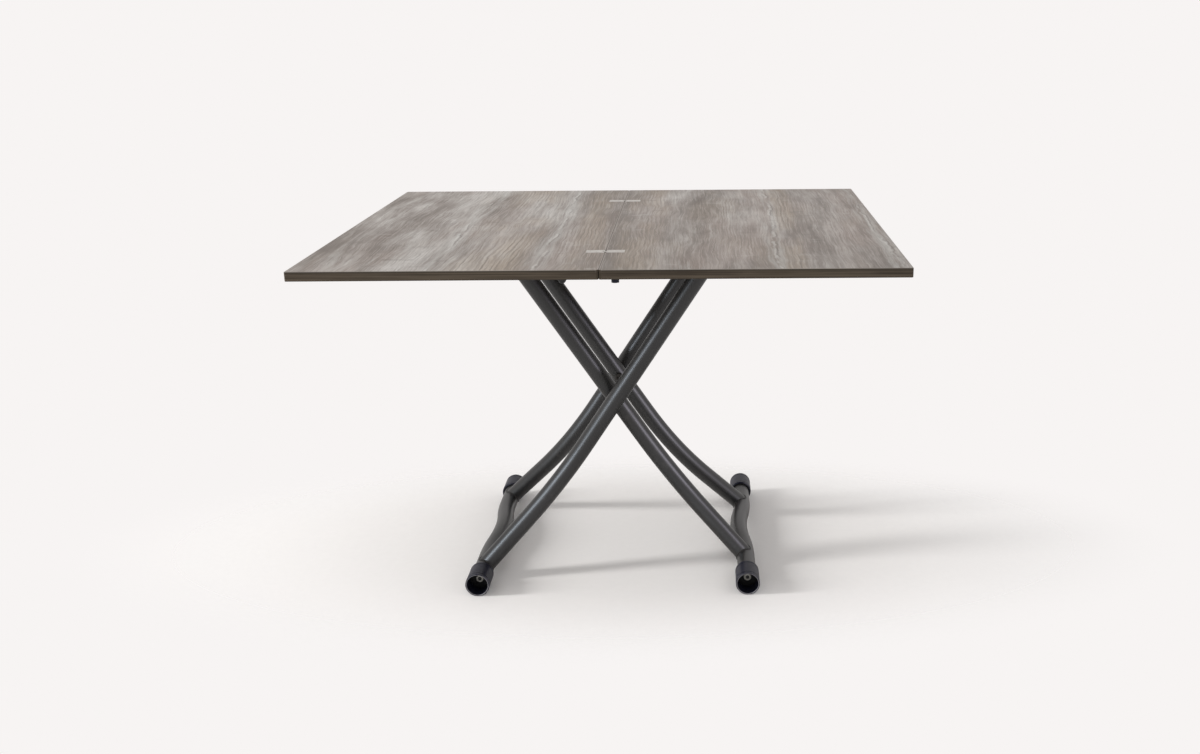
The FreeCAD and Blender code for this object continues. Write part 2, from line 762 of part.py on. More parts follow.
collar_start = "inner_cross_half + end_clearance"
fixed_axle_half = [
    ("axle_radius", collar_start),
    ("axle_collar_radius", collar_start),
    ("axle_collar_radius", f"{collar_start} + axle_collar_width"),
    ("axle_radius", f"{collar_start} + axle_collar_width"),
    ("axle_radius", "rail_outer"),
    ("axle_head_radius", "rail_outer"),
    ("axle_head_radius", "rail_outer + axle_head_height"),
    ("0", "rail_outer + axle_head_height"),
]
far_half = [(radius, f"-({along})") for radius, along in reversed(fixed_axle_half)]
node(
    "fixed_axle",
    turned(
        "fixed_axle",
        fixed_axle_half + far_half,
        "inner_axle_x",
        "0",
        "axle_level",
        "rotationx(90)",
    ),
)

roller_axle_half = [
    ("cross_bore - press_clearance", "outer_cross_half"),
    ("axle_collar_radius", "outer_cross_half"),
    ("axle_collar_radius", "roller_start - end_clearance"),
    ("axle_radius", "roller_start - end_clearance"),
    ("axle_radius", "roller_end + end_clearance"),
    ("roller_clip_radius", "roller_end + end_clearance"),
    ("roller_clip_radius", "roller_end + end_clearance + roller_clip_width"),
    ("0", "roller_end + end_clearance + roller_clip_width"),
]
far_half = [(radius, f"-({along})") for radius, along in reversed(roller_axle_half)]
node(
    "outer_roller_axle",
    turned(
        "outer_roller_axle",
        roller_axle_half + far_half,
        "outer_axle_x",
        "0",
        "axle_level",
        "rotationx(90)",
    ),
)

groove_low = "(roller_width - roller_groove_width) / 2"
roller = turned(
    "guide_roller_front",
    [
        ("axle_radius + running_clearance", "0"),
        ("roller_radius", "0"),
        ("roller_radius", groove_low),
        ("roller_radius - roller_groove_depth", groove_low),
        ("roller_radius - roller_groove_depth", "(roller_width + roller_groove_width) / 2"),
        ("roller_radius", "(roller_width + roller_groove_width) / 2"),
        ("roller_radius", "roller_width"),
        ("axle_radius + running_clearance", "roller_width"),
    ],
    "outer_axle_x",
    "-roller_start",
    "axle_level",
    "rotationx(90)",
)
node("guide_roller_front", roller)
node("guide_roller_rear", mirrored("guide_roller_rear", roller))


# Under frame: two channel rails, two cross members and the glides that carry the leaves

rail_blank = extruded(
    "rail_blank",
    "YZ_Plane",
    [
        [
            ("-rail_outer", "rail_bottom"),
            ("-rail_inner", "rail_bottom"),
            ("-rail_inner", "rail_bottom + rail_wall"),
            ("-rail_web", "rail_bottom + rail_wall"),
            ("-rail_web", "rail_top - rail_wall"),
            ("-rail_inner", "rail_top - rail_wall"),
            ("-rail_inner", "rail_top"),
            ("-rail_outer", "rail_top"),
        ]
    ],
    [],
    "rail_right - rail_left",
    "rail_left",
)
rail = cut(
    "rail_front",
    rail_blank,
    rod(
        "rail_axle_hole",
        "Y",
        inner_axle,
        ("-rail_outer - overrun", "-rail_web + overrun"),
        "axle_radius + press_clearance",
    ),
)
node("rail_front", rail)
node("rail_rear", mirrored("rail_rear", rail))


def cross_member(name, low, high):
    """A box tube across the frame, held between the flanges of both rails."""
    outside = block(
        name + "_outside",
        (low, high),
        ("-rail_web", "rail_web"),
        ("rail_bottom + rail_wall", "rail_top - rail_wall"),
    )
    inside = block(
        name + "_inside",
        (f"{low} + cross_member_wall", f"{high} - cross_member_wall"),
        ("-rail_web - overrun", "rail_web + overrun"),
        (
            "rail_bottom + rail_wall + cross_member_wall",
            "rail_top - rail_wall - cross_member_wall",
        ),
    )
    return node(name, cut(name, outside, inside))


cross_member("frame_cross_left", "rail_left", "rail_left + cross_width")
cross_member("frame_cross_right", "rail_right - cross_width", "rail_right")

glide_height = "leaf_low - end_clearance - rail_top"
glides = []
for end_name, glide_x in (
    ("left", "rail_left + glide_inset"),
    ("right", "rail_right - glide_inset"),
):
    glide = turned(
        f"glide_{end_name}",
        [
            ("0", "0"),
            ("glide_radius", "0"),
            ("glide_radius", f"{glide_height} - glide_bevel"),
            ("glide_radius - glide_bevel", glide_height),
            ("0", glide_height),
        ],
        glide_x,
        "-(rail_inner + rail_outer) / 2",
        "rail_top",
    )
    glides += [glide, mirrored(f"glide_{end_name}_rear", glide)]
node("glide_pads", group("glide_pads", *glides))


# Swivel: base plate on the rails, bearing ring, hub plate on the leaf and its retaining ring

SWIVEL = ("swivel_x", "swivel_y")
base_plate = block(
    "swivel_base_blank",
    ("swivel_x - swivel_half", "swivel_x + swivel_half"),
    ("-rail_outer", "rail_outer"),
    ("rail_top", "swivel_base_top"),
)
hub_hole = rod(
    "swivel_base_hole",
    "Z",
    SWIVEL,
    ("rail_top - overrun", "swivel_base_top + overrun"),
    "hub_radius + running_clearance",
)
node("swivel_base_plate", cut("swivel_base_plate", base_plate, hub_hole))
node(
    "swivel_bearing",
    turned(
        "swivel_bearing",
        [
            ("bearing_inner", "0"),
            ("bearing_outer", "0"),
            ("bearing_outer", "bearing_thickness"),
            ("bearing_inner", "bearing_thickness"),
        ],
        "swivel_x",
        "swivel_y",
        "swivel_base_top",
    ),
)

screw_place = "swivel_half - swivel_screw_inset"
screw_centres = [
    (f"{sign_x}({screw_place})", f"{sign_y}({screw_place})")
    for sign_x in ("-", "")
    for sign_y in ("-", "")
]
corner_start = "swivel_half - swivel_corner"
plate_corners = [
    ("-swivel_half", f"-({corner_start})"),
    (f"-({corner_start})", "-swivel_half"),
    (corner_start, "-swivel_half"),
    ("swivel_half", f"-({corner_start})"),
    ("swivel_half", corner_start),
    (corner_start, "swivel_half"),
    (f"-({corner_start})", "swivel_half"),
    ("-swivel_half", corner_start),
]
flat_plate = extruded(
    "swivel_flat",
    "XY_Plane",
    [plate_corners],
    [(centre, "swivel_screw_radius + press_clearance") for centre in screw_centres],
    "swivel_plate_thickness",
    "swivel_x",
    "swivel_y",
    "swivel_plate_low",
)
hub = turned(
    "swivel_hub",
    [
        ("0", "hub_low"),
        ("hub_radius", "hub_low"),
        ("hub_radius", "retainer_low - press_clearance"),
        ("hub_radius - hub_groove_depth", "retainer_low - press_clearance"),
        ("hub_radius - hub_groove_depth", "retainer_low + retainer_thickness + press_clearance"),
        ("hub_radius", "retainer_low + retainer_thickness + press_clearance"),
        ("hub_radius", "swivel_plate_low"),
        ("0", "swivel_plate_low"),
    ],
    "swivel_x",
    "swivel_y",
    "0",
)
node("swivel_plate", join("swivel_plate", flat_plate, hub))
node(
    "swivel_retainer",
    turned(
        "swivel_retainer",
        [
            ("hub_radius - hub_groove_depth + press_clearance", "0"),
            ("retainer_radius", "0"),
            ("retainer_radius", "retainer_thickness"),
            ("hub_radius - hub_groove_depth + press_clearance", "retainer_thickness"),
        ],
        "swivel_x",
        "swivel_y",
        "retainer_low",
    ),
)
SWIVEL_SCREW_PROFILE = [
    ("0", "-swivel_screw_head_height"),
    ("swivel_screw_head_radius", "-swivel_screw_head_height"),
    ("swivel_screw_head_radius", "0"),
    ("swivel_screw_radius", "0"),
    ("swivel_screw_radius", "swivel_plate_thickness + swivel_screw_length"),
    ("0", "swivel_plate_thickness + swivel_screw_length"),
]
swivel_screws = []
swivel_screw_holes = []
for index, (across, along) in enumerate(screw_centres):
    centre = (f"swivel_x + {across}", f"swivel_y + {along}")
    swivel_screws.append(
        turned(f"swivel_screw_{index}", SWIVEL_SCREW_PROFILE, centre[0], centre[1], "swivel_plate_low")
    )
    swivel_screw_holes.append(
        rod(
            f"swivel_screw_hole_{index}",
            "Z",
            centre,
            ("leaf_low - overrun", "leaf_low + swivel_screw_length"),
            "swivel_screw_radius + press_clearance",
        )
    )
node("swivel_screws", group("swivel_screws", *swivel_screws))


# Gas spring: lug on the inner cross tube, bracket under the base plate, cylinder and rod

lug_cheek = extruded(
    "lug_cheek_blank",
    "XZ_Plane",
    [
        [
            ("-lug_width", "0"),
            ("lug_width", "0"),
            ("lug_width", "-lug_radius"),
            ("lug_width / 2", "-lug_radius - lug_width"),
            ("-lug_width / 2", "-lug_radius - lug_width"),
            ("-lug_width", "-lug_radius"),
        ]
    ],
    [(("0", "-lug_radius"), "lug_pin_radius + press_clearance")],
    "lug_thickness",
    "inner_axle_x",
    "-lug_inside",
    "axle_level",
    "rotationy(half_fold)",
)
lug_cope = rod("lug_cope", "Y", inner_axle, inner_cross_reach, "cross_radius")
lug = cut("lug_cheek", lug_cheek, lug_cope)
node("inner_spring_lug", pair("inner_spring_lug", lug))
pin_half = "lug_inside + lug_thickness + lug_pin_stand"
node(
    "spring_lug_pin",
    rod("spring_lug_pin", "Y", ("lug_x", "lug_level"), (f"-({pin_half})", pin_half), "lug_pin_radius"),
)

bracket_cheek = extruded(
    "bracket_cheek",
    "XZ_Plane",
    [
        [
            ("-bracket_half", "rail_top"),
            ("-bracket_half", "spring_level"),
            ("-bracket_half / 2", "spring_level - bracket_half"),
            ("bracket_half / 2", "spring_level - bracket_half"),
            ("bracket_half", "spring_level"),
            ("bracket_half", "rail_top"),
        ]
    ],
    [(("0", "spring_level"), "lug_pin_radius + press_clearance")],
    "bracket_thickness",
    "spring_x",
    "-spring_inside",
)
node("spring_bracket", pair("spring_bracket", bracket_cheek))
anchor_half = "spring_inside + bracket_thickness + lug_pin_stand"
anchor = ("spring_x", "spring_level")
node(
    "spring_bracket_pin",
    rod("spring_bracket_pin", "Y", anchor, (f"-({anchor_half})", anchor_half), "lug_pin_radius"),
)

cylinder_tube = turned(
    "spring_cylinder_tube",
    [
        ("0", "0"),
        ("cylinder_neck_radius", "0"),
        ("cylinder_neck_radius", "cylinder_start"),
        ("cylinder_radius", "cylinder_start"),
        ("cylinder_radius", "cylinder_length"),
        ("spring_rod_radius + running_clearance", "cylinder_length"),
        ("spring_rod_radius + running_clearance", "cylinder_length - gland_length"),
        ("cylinder_bore", "cylinder_length - gland_length"),
        ("cylinder_bore", "cylinder_start + cylinder_base"),
        ("0", "cylinder_start + cylinder_base"),
    ],
    "spring_x",
    "0",
    "spring_level",
    "rotationy(-90)",
)
cylinder_eye = rod(
    "spring_cylinder_eye",
    "Y",
    anchor,
    ("-spring_eye_half", "spring_eye_half"),
    "spring_eye_radius",
)
anchor_hole = rod(
    "spring_anchor_hole",
    "Y",
    anchor,
    ("-spring_eye_half - overrun", "spring_eye_half + overrun"),
    "lug_pin_radius + press_clearance",
)
cylinder = cut("spring_cylinder", join("spring_cylinder_blank", cylinder_tube, cylinder_eye), anchor_hole)
node("spring_cylinder", cylinder)

piston_end = "cylinder_length - gland_length - overrun"
rod_stem = turned(
    "spring_rod_stem",
    [
        ("0", f"{piston_end} - piston_length"),
        ("piston_radius", f"{piston_end} - piston_length"),
        ("piston_radius", piston_end),
        ("spring_rod_radius", piston_end),
        ("spring_rod_radius", "spring_length - rod_eye_radius / 2"),
        ("0", "spring_length - rod_eye_radius / 2"),
    ],
    "spring_x",
    "0",
    "spring_level",
    "rotationy(-90)",
)
rod_eye = rod(
    "spring_rod_eye",
    "Y",
    ("lug_x", "spring_level"),
    ("-rod_eye_half", "rod_eye_half"),
    "rod_eye_radius",
)
slot_half = "lug_pin_radius + end_clearance"
eye_slot = block(
    "spring_rod_slot",
    (f"lug_x - ({slot_half})", f"lug_x + {slot_half}"),
    ("-rod_eye_half - overrun", "rod_eye_half + overrun"),
    (f"spring_level - ({slot_half} + rod_eye_slot)", f"spring_level + {slot_half} + rod_eye_slot"),
)
node("spring_rod", cut("spring_rod", join("spring_rod_blank", rod_stem, rod_eye), eye_slot))


# Height release lever in its bracket on the front rail

LEVER_PIVOT = ("lever_y", "lever_level")
lever_base = block(
    "lever_base",
    ("lever_x - lever_base_half", "lever_x + lever_base_half"),
    ("-(rail_outer + lever_cheek)", "-rail_outer"),
    ("rail_bottom", "lever_level + lever_tail_height"),
)
cheek_reach = "lever_inside + lever_cheek"
lever_cheeks = [
    block(
        f"lever_cheek_{name}",
        (low, high),
        ("lever_y - lever_eye_radius", "-(rail_outer + lever_cheek)"),
        ("lever_level - lever_eye_radius", "lever_level + lever_eye_radius"),
    )
    for name, low, high in (
        ("left", f"lever_x - ({cheek_reach})", "lever_x - lever_inside"),
        ("right", "lever_x + lever_inside", f"lever_x + {cheek_reach}"),
    )
]
pin_reach = (f"lever_x - ({cheek_reach}) - end_clearance", f"lever_x + {cheek_reach} + end_clearance")
lever_bracket = cut(
    "lever_bracket",
    join("lever_bracket_blank", lever_base, *lever_cheeks),
    rod(
        "lever_bracket_hole",
        "X",
        LEVER_PIVOT,
        (f"{pin_reach[0]} - overrun", f"{pin_reach[1]} + overrun"),
        "lever_pin_radius + press_clearance",
    ),
)
node("lever_bracket", lever_bracket)
node("lever_pin", rod("lever_pin", "X", LEVER_PIVOT, pin_reach, "lever_pin_radius"))

lever_eye = rod(
    "lever_eye",
    "X",
    LEVER_PIVOT,
    ("lever_x - lever_eye_half", "lever_x + lever_eye_half"),
    "lever_eye_radius",
)
lever_arm = rod(
    "lever_arm",
    "Y",
    ("lever_x", "lever_level"),
    ("lever_y - lever_length", "lever_y"),
    "lever_rod_radius",
)
lever_tail = block(
    "lever_tail",
    ("lever_x - lever_tail_half", "lever_x + lever_tail_half"),
    ("lever_y - lever_tail_half", "lever_y + lever_tail_half"),
    ("lever_level", "lever_level + lever_tail_height"),
)
lever_hole = rod(
    "lever_hole",
    "X",
    LEVER_PIVOT,
    ("lever_x - lever_eye_half - overrun", "lever_x + lever_eye_half + overrun"),
    "lever_pin_radius + running_clearance",
)
node(
    "release_lever",
    cut("release_lever", join("release_lever_blank", lever_eye, lever_arm, lever_tail), lever_hole),
)
grip_low = "lever_length - grip_overlap"
node(
    "lever_grip",
    turned(
        "lever_grip",
        [
            ("lever_rod_radius + press_clearance", grip_low),
            ("grip_waist", grip_low),
            ("grip_waist", f"{grip_low} + grip_end"),
            ("grip_radius", f"{grip_low} + 2 * grip_end"),
            ("grip_radius", f"{grip_low} + grip_length - grip_end"),
            ("grip_radius - grip_end / 2", f"{grip_low} + grip_length"),
            ("0", f"{grip_low} + grip_length"),
            ("0", "lever_length + press_clearance"),
            ("lever_rod_radius + press_clearance", "lever_length + press_clearance"),
        ],
        "lever_x",
        "lever_y",
        "lever_level",
        "rotationx(90)",
    ),
)


# Flush hinges across the seam: plates with pins in each leaf, joined by short links

HINGE_PIN = ("hinge_pin_x", "hinge_pin_level")
hinge_front = "-(hinge_place + hinge_half)"
hinge_rear = "-(hinge_place - hinge_half)"
plate_blank = join(
    "hinge_plate_blank",
    block(
        "hinge_plate_flat",
        ("hinge_pin_x", "hinge_reach"),
        (hinge_front, hinge_rear),
        ("hinge_low", "top_level"),
    ),
    rod("hinge_knuckle", "Y", HINGE_PIN, (hinge_front, hinge_rear), "hinge_thickness / 2"),
)
link_notch = block(
    "hinge_link_notch",
    ("0", "hinge_pin_x + hinge_thickness / 2 + link_clear"),
    ("-(hinge_place + link_half + link_clear)", "-(hinge_place - link_half - link_clear)"),
    ("hinge_low - link_clear", "top_level + overrun"),
)
pin_hole = rod(
    "hinge_pin_hole",
    "Y",
    HINGE_PIN,
    (f"{hinge_front} - overrun", f"{hinge_rear} + overrun"),
    "hinge_pin_radius + press_clearance",
)
HINGE_SCREW_PROFILE = [
    ("0", "-hinge_screw_length"),
    ("hinge_screw_radius", "-hinge_screw_length"),
    ("hinge_screw_radius", "-hinge_screw_head_height"),
    ("hinge_screw_head_radius", "0"),
    ("0", "0"),
]
hinge_screws = []
plate_holes = []
board_holes = []
for index, (screw_x, screw_y) in enumerate(
    (
        ("hinge_screw_near", "-(hinge_place + hinge_screw_side)"),
        ("hinge_screw_far", "-(hinge_place - hinge_screw_side)"),
    )
):
    centre = (screw_x, screw_y)
    hinge_screws.append(
        turned(f"hinge_screw_{index}", HINGE_SCREW_PROFILE, screw_x, screw_y, "top_level")
    )
    plate_holes.append(
        cone(
            f"hinge_screw_sink_{index}",
            centre,
            "top_level - hinge_screw_head_height",
            "hinge_screw_head_height",
            "hinge_screw_radius + press_clearance",
            "hinge_screw_head_radius + press_clearance",
        )
    )
    hole_reach = ("top_level - hinge_screw_length", "top_level - hinge_screw_head_height")
    plate_holes.append(
        rod(
            f"hinge_plate_hole_{index}",
            "Z",
            centre,
            hole_reach,
            "hinge_screw_radius + press_clearance",
        )
    )
    board_holes.append(
        rod(
            f"hinge_board_hole_{index}",
            "Z",
            centre,
            hole_reach,
            "hinge_screw_radius + press_clearance",
        )
    )
hinge_plate = cut("hinge_plate", plate_blank, link_notch, pin_hole, *plate_holes)
hinge_pin = rod("hinge_pin", "Y", HINGE_PIN, (hinge_front, hinge_rear), "hinge_pin_radius")
fixed_plates = node("fixed_hinge_plates", pair("fixed_hinge_plates", hinge_plate))
fixed_screws = node(
    "fixed_hinge_screws",
    group(
        "fixed_hinge_screws",
        *hinge_screws,
        *[mirrored(f"{screw.Name}_rear", screw) for screw in hinge_screws],
    ),
)
fixed_pins = node("fixed_hinge_pins", pair("fixed_hinge_pins", hinge_pin))
node("flip_hinge_plates", mirrored("flip_hinge_plates", fixed_plates, ACROSS_SEAM))
node("flip_hinge_screws", mirrored("flip_hinge_screws", fixed_screws, ACROSS_SEAM))
node("flip_hinge_pins", mirrored("flip_hinge_pins", fixed_pins, ACROSS_SEAM))

link_front = "-(hinge_place + link_half)"
link_rear = "-(hinge_place - link_half)"
LINK_PIN_FAR = ("-hinge_pin_x", "hinge_pin_level")
link_blank = join(
    "hinge_link_blank",
    block(
        "hinge_link_bar",
        ("-hinge_pin_x", "hinge_pin_x"),
        (link_front, link_rear),
        ("hinge_low", "top_level"),
    ),
    rod("hinge_link_near", "Y", HINGE_PIN, (link_front, link_rear), "hinge_thickness / 2"),
    rod("hinge_link_far", "Y", LINK_PIN_FAR, (link_front, link_rear), "hinge_thickness / 2"),
)
link_holes = [
    rod(
        f"hinge_link_hole_{name}",
        "Y",
        centre,
        (f"{link_front} - overrun", f"{link_rear} + overrun"),
        "hinge_pin_radius + running_clearance",
    )
    for name, centre in (("near", HINGE_PIN), ("far", LINK_PIN_FAR))
]
hinge_link = cut("hinge_link", link_blank, *link_holes)
node("hinge_links", pair("hinge_links", hinge_link))


# Leaves: a board with a thick edging all round, mortised for the hinges

mortise = block(
    "hinge_mortise",
    ("0", "hinge_reach"),
    (hinge_front, hinge_rear),
    ("hinge_low", "top_level + overrun"),
)
mortises = [
    mortise,
    mirrored("hinge_mortise_rear", mortise),
    link_notch,
    mirrored("hinge_link_notch_rear", link_notch),
]
hinge_holes = board_holes + [mirrored(f"{hole.Name}_rear", hole) for hole in board_holes]
board_blank = block(
    "board_blank",
    ("seam_half + edging_thickness", "seam_half + leaf_width - edging_thickness"),
    ("edging_thickness - leaf_depth / 2", "leaf_depth / 2 - edging_thickness"),
    ("leaf_low", "top_level"),
)
board = cut("board", board_blank, *mortises, *hinge_holes)
node("flip_leaf", mirrored("flip_leaf", board, ACROSS_SEAM))

edging_ring = extruded(
    "edging_ring",
    "XY_Plane",
    [
        [
            ("0", "-leaf_depth / 2"),
            ("leaf_width", "-leaf_depth / 2"),
            ("leaf_width", "leaf_depth / 2"),
            ("0", "leaf_depth / 2"),
        ],
        [
            ("edging_thickness", "edging_thickness - leaf_depth / 2"),
            ("leaf_width - edging_thickness", "edging_thickness - leaf_depth / 2"),
            ("leaf_width - edging_thickness", "leaf_depth / 2 - edging_thickness"),
            ("edging_thickness", "leaf_depth / 2 - edging_thickness"),
        ],
    ],
    [],
    "leaf_thickness",
    "seam_half",
    "0",
    "leaf_low",
)


def outermost(edge):
    """Whether an edge lies on the outside of the edging, not on its inner wall."""
    spot = edge.CenterOfMass - edging_ring.Placement.Base
    across = min(spot.x, value("leaf_width") - spot.x)
    along = value("leaf_depth / 2") - abs(spot.y)
    return min(across, along) < value("edging_thickness") / 2


def upright(edge):
    """Whether an edge runs straight up."""
    return len(edge.Vertexes) == 2 and abs(edge.tangentAt(edge.FirstParameter).z) > math.cos(math.pi / 8)


rounded_edges(
    edging_ring,
    "edging_corners",
    "edging_corner",
    lambda edge: upright(edge) and outermost(edge),
)
rounded_edges(
    edging_ring,
    "edging_arrises",
    "edging_arris",
    lambda edge: not upright(edge) and outermost(edge),
)
edging = node("fixed_leaf_edging", cut("fixed_leaf_edging", edging_ring, *mortises))
node("flip_leaf_edging", mirrored("flip_leaf_edging", edging, ACROSS_SEAM))


# Turn buttons under the fixed leaf, each on its own screw

CATCH = ("catch_x", "-catch_place")
catch_boss = rod("catch_boss", "Z", CATCH, ("catch_low", "catch_top"), "catch_radius")
catch_arm = block(
    "catch_arm",
    ("catch_x - catch_radius", "catch_x + catch_radius"),
    ("-catch_place", "catch_arm_length - catch_place"),
    ("catch_top - catch_arm_thickness", "catch_top"),
)
catch_bore = rod(
    "catch_bore",
    "Z",
    CATCH,
    ("catch_low - overrun", "catch_top + overrun"),
    "catch_screw_radius + running_clearance",
)
catch_sink = rod(
    "catch_sink",
    "Z",
    CATCH,
    ("catch_low - overrun", "catch_low + catch_screw_head_height + end_clearance"),
    "catch_screw_head_radius + running_clearance",
)
catch = cut("leaf_catch_front", join("leaf_catch_blank", catch_boss, catch_arm), catch_bore, catch_sink)
node("leaf_catch_front", catch)
node("leaf_catch_rear", mirrored("leaf_catch_rear", catch))
catch_screw = turned(
    "catch_screw",
    [
        ("0", "0"),
        ("catch_screw_head_radius", "0"),
        ("catch_screw_head_radius", "catch_screw_head_height"),
        ("catch_screw_radius", "catch_screw_head_height"),
        ("catch_screw_radius", "catch_screw_length"),
        ("0", "catch_screw_length"),
    ],
    "catch_x",
    "-catch_place",
    "catch_low",
)
node("catch_screws", pair("catch_screws", catch_screw))
catch_hole = rod(
    "catch_screw_hole",
    "Z",
    CATCH,
    ("leaf_low - overrun", "catch_low + catch_screw_length"),
    "catch_screw_radius + press_clearance",
)
catch_holes = [catch_hole, mirrored("catch_screw_hole_rear", catch_hole)]
node("fixed_leaf", cut("fixed_leaf", board, *swivel_screw_holes, *catch_holes))


# Every feature and shape is checked before the parts are written.

doc.recompute()
failed = [thing.Name for thing in doc.Objects if {"Invalid", "Error"} & set(thing.State)]
broken = [piece.Label for piece in nodes if piece.Shape.isNull() or not piece.Shape.isValid()]
if failed or broken:
    raise RuntimeError(f"failed features {failed}, broken shapes {broken}")
os.makedirs("parts", exist_ok=True)
for piece in nodes:
    piece.Shape.exportStep(f"parts/{piece.Label}.step")
    print(piece.Label, len(piece.Shape.Solids), round(piece.Shape.Volume))
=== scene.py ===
import json
import math

import bpy
from mathutils import Matrix, Quaternion, Vector


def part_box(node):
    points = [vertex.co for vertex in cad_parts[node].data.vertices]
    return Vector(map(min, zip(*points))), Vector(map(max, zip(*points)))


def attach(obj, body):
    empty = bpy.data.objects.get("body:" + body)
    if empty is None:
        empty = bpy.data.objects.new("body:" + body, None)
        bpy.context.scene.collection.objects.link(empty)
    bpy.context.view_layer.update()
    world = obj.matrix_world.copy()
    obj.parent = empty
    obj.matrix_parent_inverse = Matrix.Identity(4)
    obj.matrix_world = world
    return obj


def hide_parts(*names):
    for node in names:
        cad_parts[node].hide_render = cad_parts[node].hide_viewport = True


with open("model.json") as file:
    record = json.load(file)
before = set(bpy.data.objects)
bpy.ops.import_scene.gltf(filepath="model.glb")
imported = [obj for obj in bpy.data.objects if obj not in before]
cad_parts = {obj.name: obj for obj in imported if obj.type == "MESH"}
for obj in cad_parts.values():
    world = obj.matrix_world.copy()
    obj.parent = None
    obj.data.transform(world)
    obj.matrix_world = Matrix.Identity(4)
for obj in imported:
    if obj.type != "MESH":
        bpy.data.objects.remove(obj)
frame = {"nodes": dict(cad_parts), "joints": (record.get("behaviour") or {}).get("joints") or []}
nodes = frame["nodes"]
joints = {joint["name"]: joint for joint in frame["joints"]}
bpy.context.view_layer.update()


# Camera: it stands in front of the long edge of the opened top, a little to its right and above it.
# The picture is cut to the left of the lens axis, so the lens is shifted sideways.
picture_width = 1200
focal_length = 1257.12
lens_axis = 700
yaw, pitch, roll = 0.0037, 0.2906, 0.0075
stand = (0.19054, -2.73168, 1.21435)
across = Vector((math.cos(yaw), math.sin(yaw), 0))
ahead = Vector((-math.sin(yaw) * math.cos(pitch), math.cos(yaw) * math.cos(pitch), -math.sin(pitch)))
below = ahead.cross(across)
level_across = across * math.cos(roll) + below * math.sin(roll)
level_below = below * math.cos(roll) - across * math.sin(roll)
lens = bpy.data.cameras.new("camera")
lens.sensor_width = 36
lens.lens = lens.sensor_width * focal_length / picture_width
lens.shift_x = 0.5 - lens_axis / picture_width
camera = bpy.data.objects.new("camera", lens)
camera.matrix_world = Matrix((level_across, -level_below, -ahead)).transposed().to_4x4()
camera.location = stand
bpy.context.scene.collection.objects.link(camera)
bpy.context.scene.camera = camera
bpy.context.scene.view_settings.view_transform = "Standard"


# Floor and backdrop: a pale paper floor that fades into a backdrop of the same warm white.
# It shows the soft shadow of the table, and the backdrop shows in metal as it does behind the table.
class Number:
    """A node socket that carries a number: arithmetic on it adds Math nodes."""

    def __init__(self, tree, socket):
        self.tree = tree
        self.socket = socket

    def output(self, name):
        return Number(self.tree, self.socket.node.outputs[name])

    def math(self, operation, first, second=0.0):
        return self.tree.node("ShaderNodeMath", {"operation": operation}, {0: first, 1: second})

    def __add__(self, other):
        return self.math("ADD", self, other)

    def __radd__(self, other):
        return self.math("ADD", other, self)

    def __sub__(self, other):
        return self.math("SUBTRACT", self, other)

    def __rsub__(self, other):
        return self.math("SUBTRACT", other, self)

    def __mul__(self, other):
        return self.math("MULTIPLY", self, other)

    def __rmul__(self, other):
        return self.math("MULTIPLY", other, self)

    def __truediv__(self, other):
        return self.math("DIVIDE", self, other)

    def __pow__(self, other):
        return self.math("POWER", self, other)

    def __abs__(self):
        return self.math("ABSOLUTE", self)

    def sine(self):
        return self.math("SINE", self)


class Nodes:
    """The nodes of one material, of the world or of a geometry tree."""

    def __init__(self, tree):
        self.made = tree.nodes
        self.links = tree.links
        self.made.clear()

    def node(self, kind, settings, sockets, output=0):
        new = self.made.new(kind)
        for name, setting in settings.items():
            if name == "stops":
                stops = new.color_ramp.elements
                while len(stops) < len(setting):
                    stops.new(1)
                for stop, (position, colour) in zip(stops, setting):
                    stop.position = position
                    stop.color = colour
            else:
                setattr(new, name, setting)
        for name, given in sockets.items():
            for source in given if isinstance(given, list) else [given]:
                if isinstance(source, Number):
                    self.links.new(source.socket, new.inputs[name])
                else:
                    new.inputs[name].default_value = source
        return Number(self, new.outputs[output]) if new.outputs else None

    def blend(self, share, first, second):
        """A colour between two others."""
        settings = {"data_type": "RGBA", "clamp_factor": True}
        return self.node("ShaderNodeMix", settings, {0: share, 6: first, 7: second}, 2)

    def rise(self, number, low, high):
        """A smooth rise from 0 to 1 between two values."""
        settings = {"interpolation_type": "SMOOTHSTEP"}
        return self.node("ShaderNodeMapRange", settings, {0: number, 1: low, 2: high})

    def noise(self, place, scale, detail=2.0, roughness=0.5, start=(0, 0, 0)):
        """Cloudy noise with its own scale along each axis, in cycles per metre."""
        moved = self.node("ShaderNodeMapping", {}, {"Vector": place, "Location": start, "Scale": scale})
        sockets = {"Vector": moved, "Scale": 1.0, "Detail": detail, "Roughness": roughness}
        return self.node("ShaderNodeTexNoise", {}, sockets, "Fac")


def tint(red, green, blue):
    """A colour given as it looks on a screen, in the linear values that shaders use."""
    shares = [level / 255 for level in (red, green, blue)]
    return (*[s / 12.92 if s <= 0.04045 else ((s + 0.055) / 1.055) ** 2.4 for s in shares], 1)


def new_finish(name):
    """A new material, and its nodes."""
    material = bpy.data.materials.new(name)
    material.use_nodes = True
    return material, Nodes(material.node_tree)


backdrop_colour = tint(247, 244, 243)
daylight = 0.72
world = bpy.data.worlds.new("backdrop")
bpy.context.scene.world = world
world.use_nodes = True
sky = Nodes(world.node_tree)
ray = sky.node("ShaderNodeLightPath", {}, {}, "Is Camera Ray")
seen = ray + ray.output("Is Glossy Ray") + ray.output("Is Transmission Ray")
lit = sky.node("ShaderNodeBackground", {}, {"Color": (1, 0.99, 0.98, 1), "Strength": daylight})
shown = sky.node("ShaderNodeBackground", {}, {"Color": backdrop_colour, "Strength": 1.0})
mixed = sky.node("ShaderNodeMixShader", {}, {0: seen, 1: lit, 2: shown})
sky.node("ShaderNodeOutputWorld", {}, {"Surface": mixed})

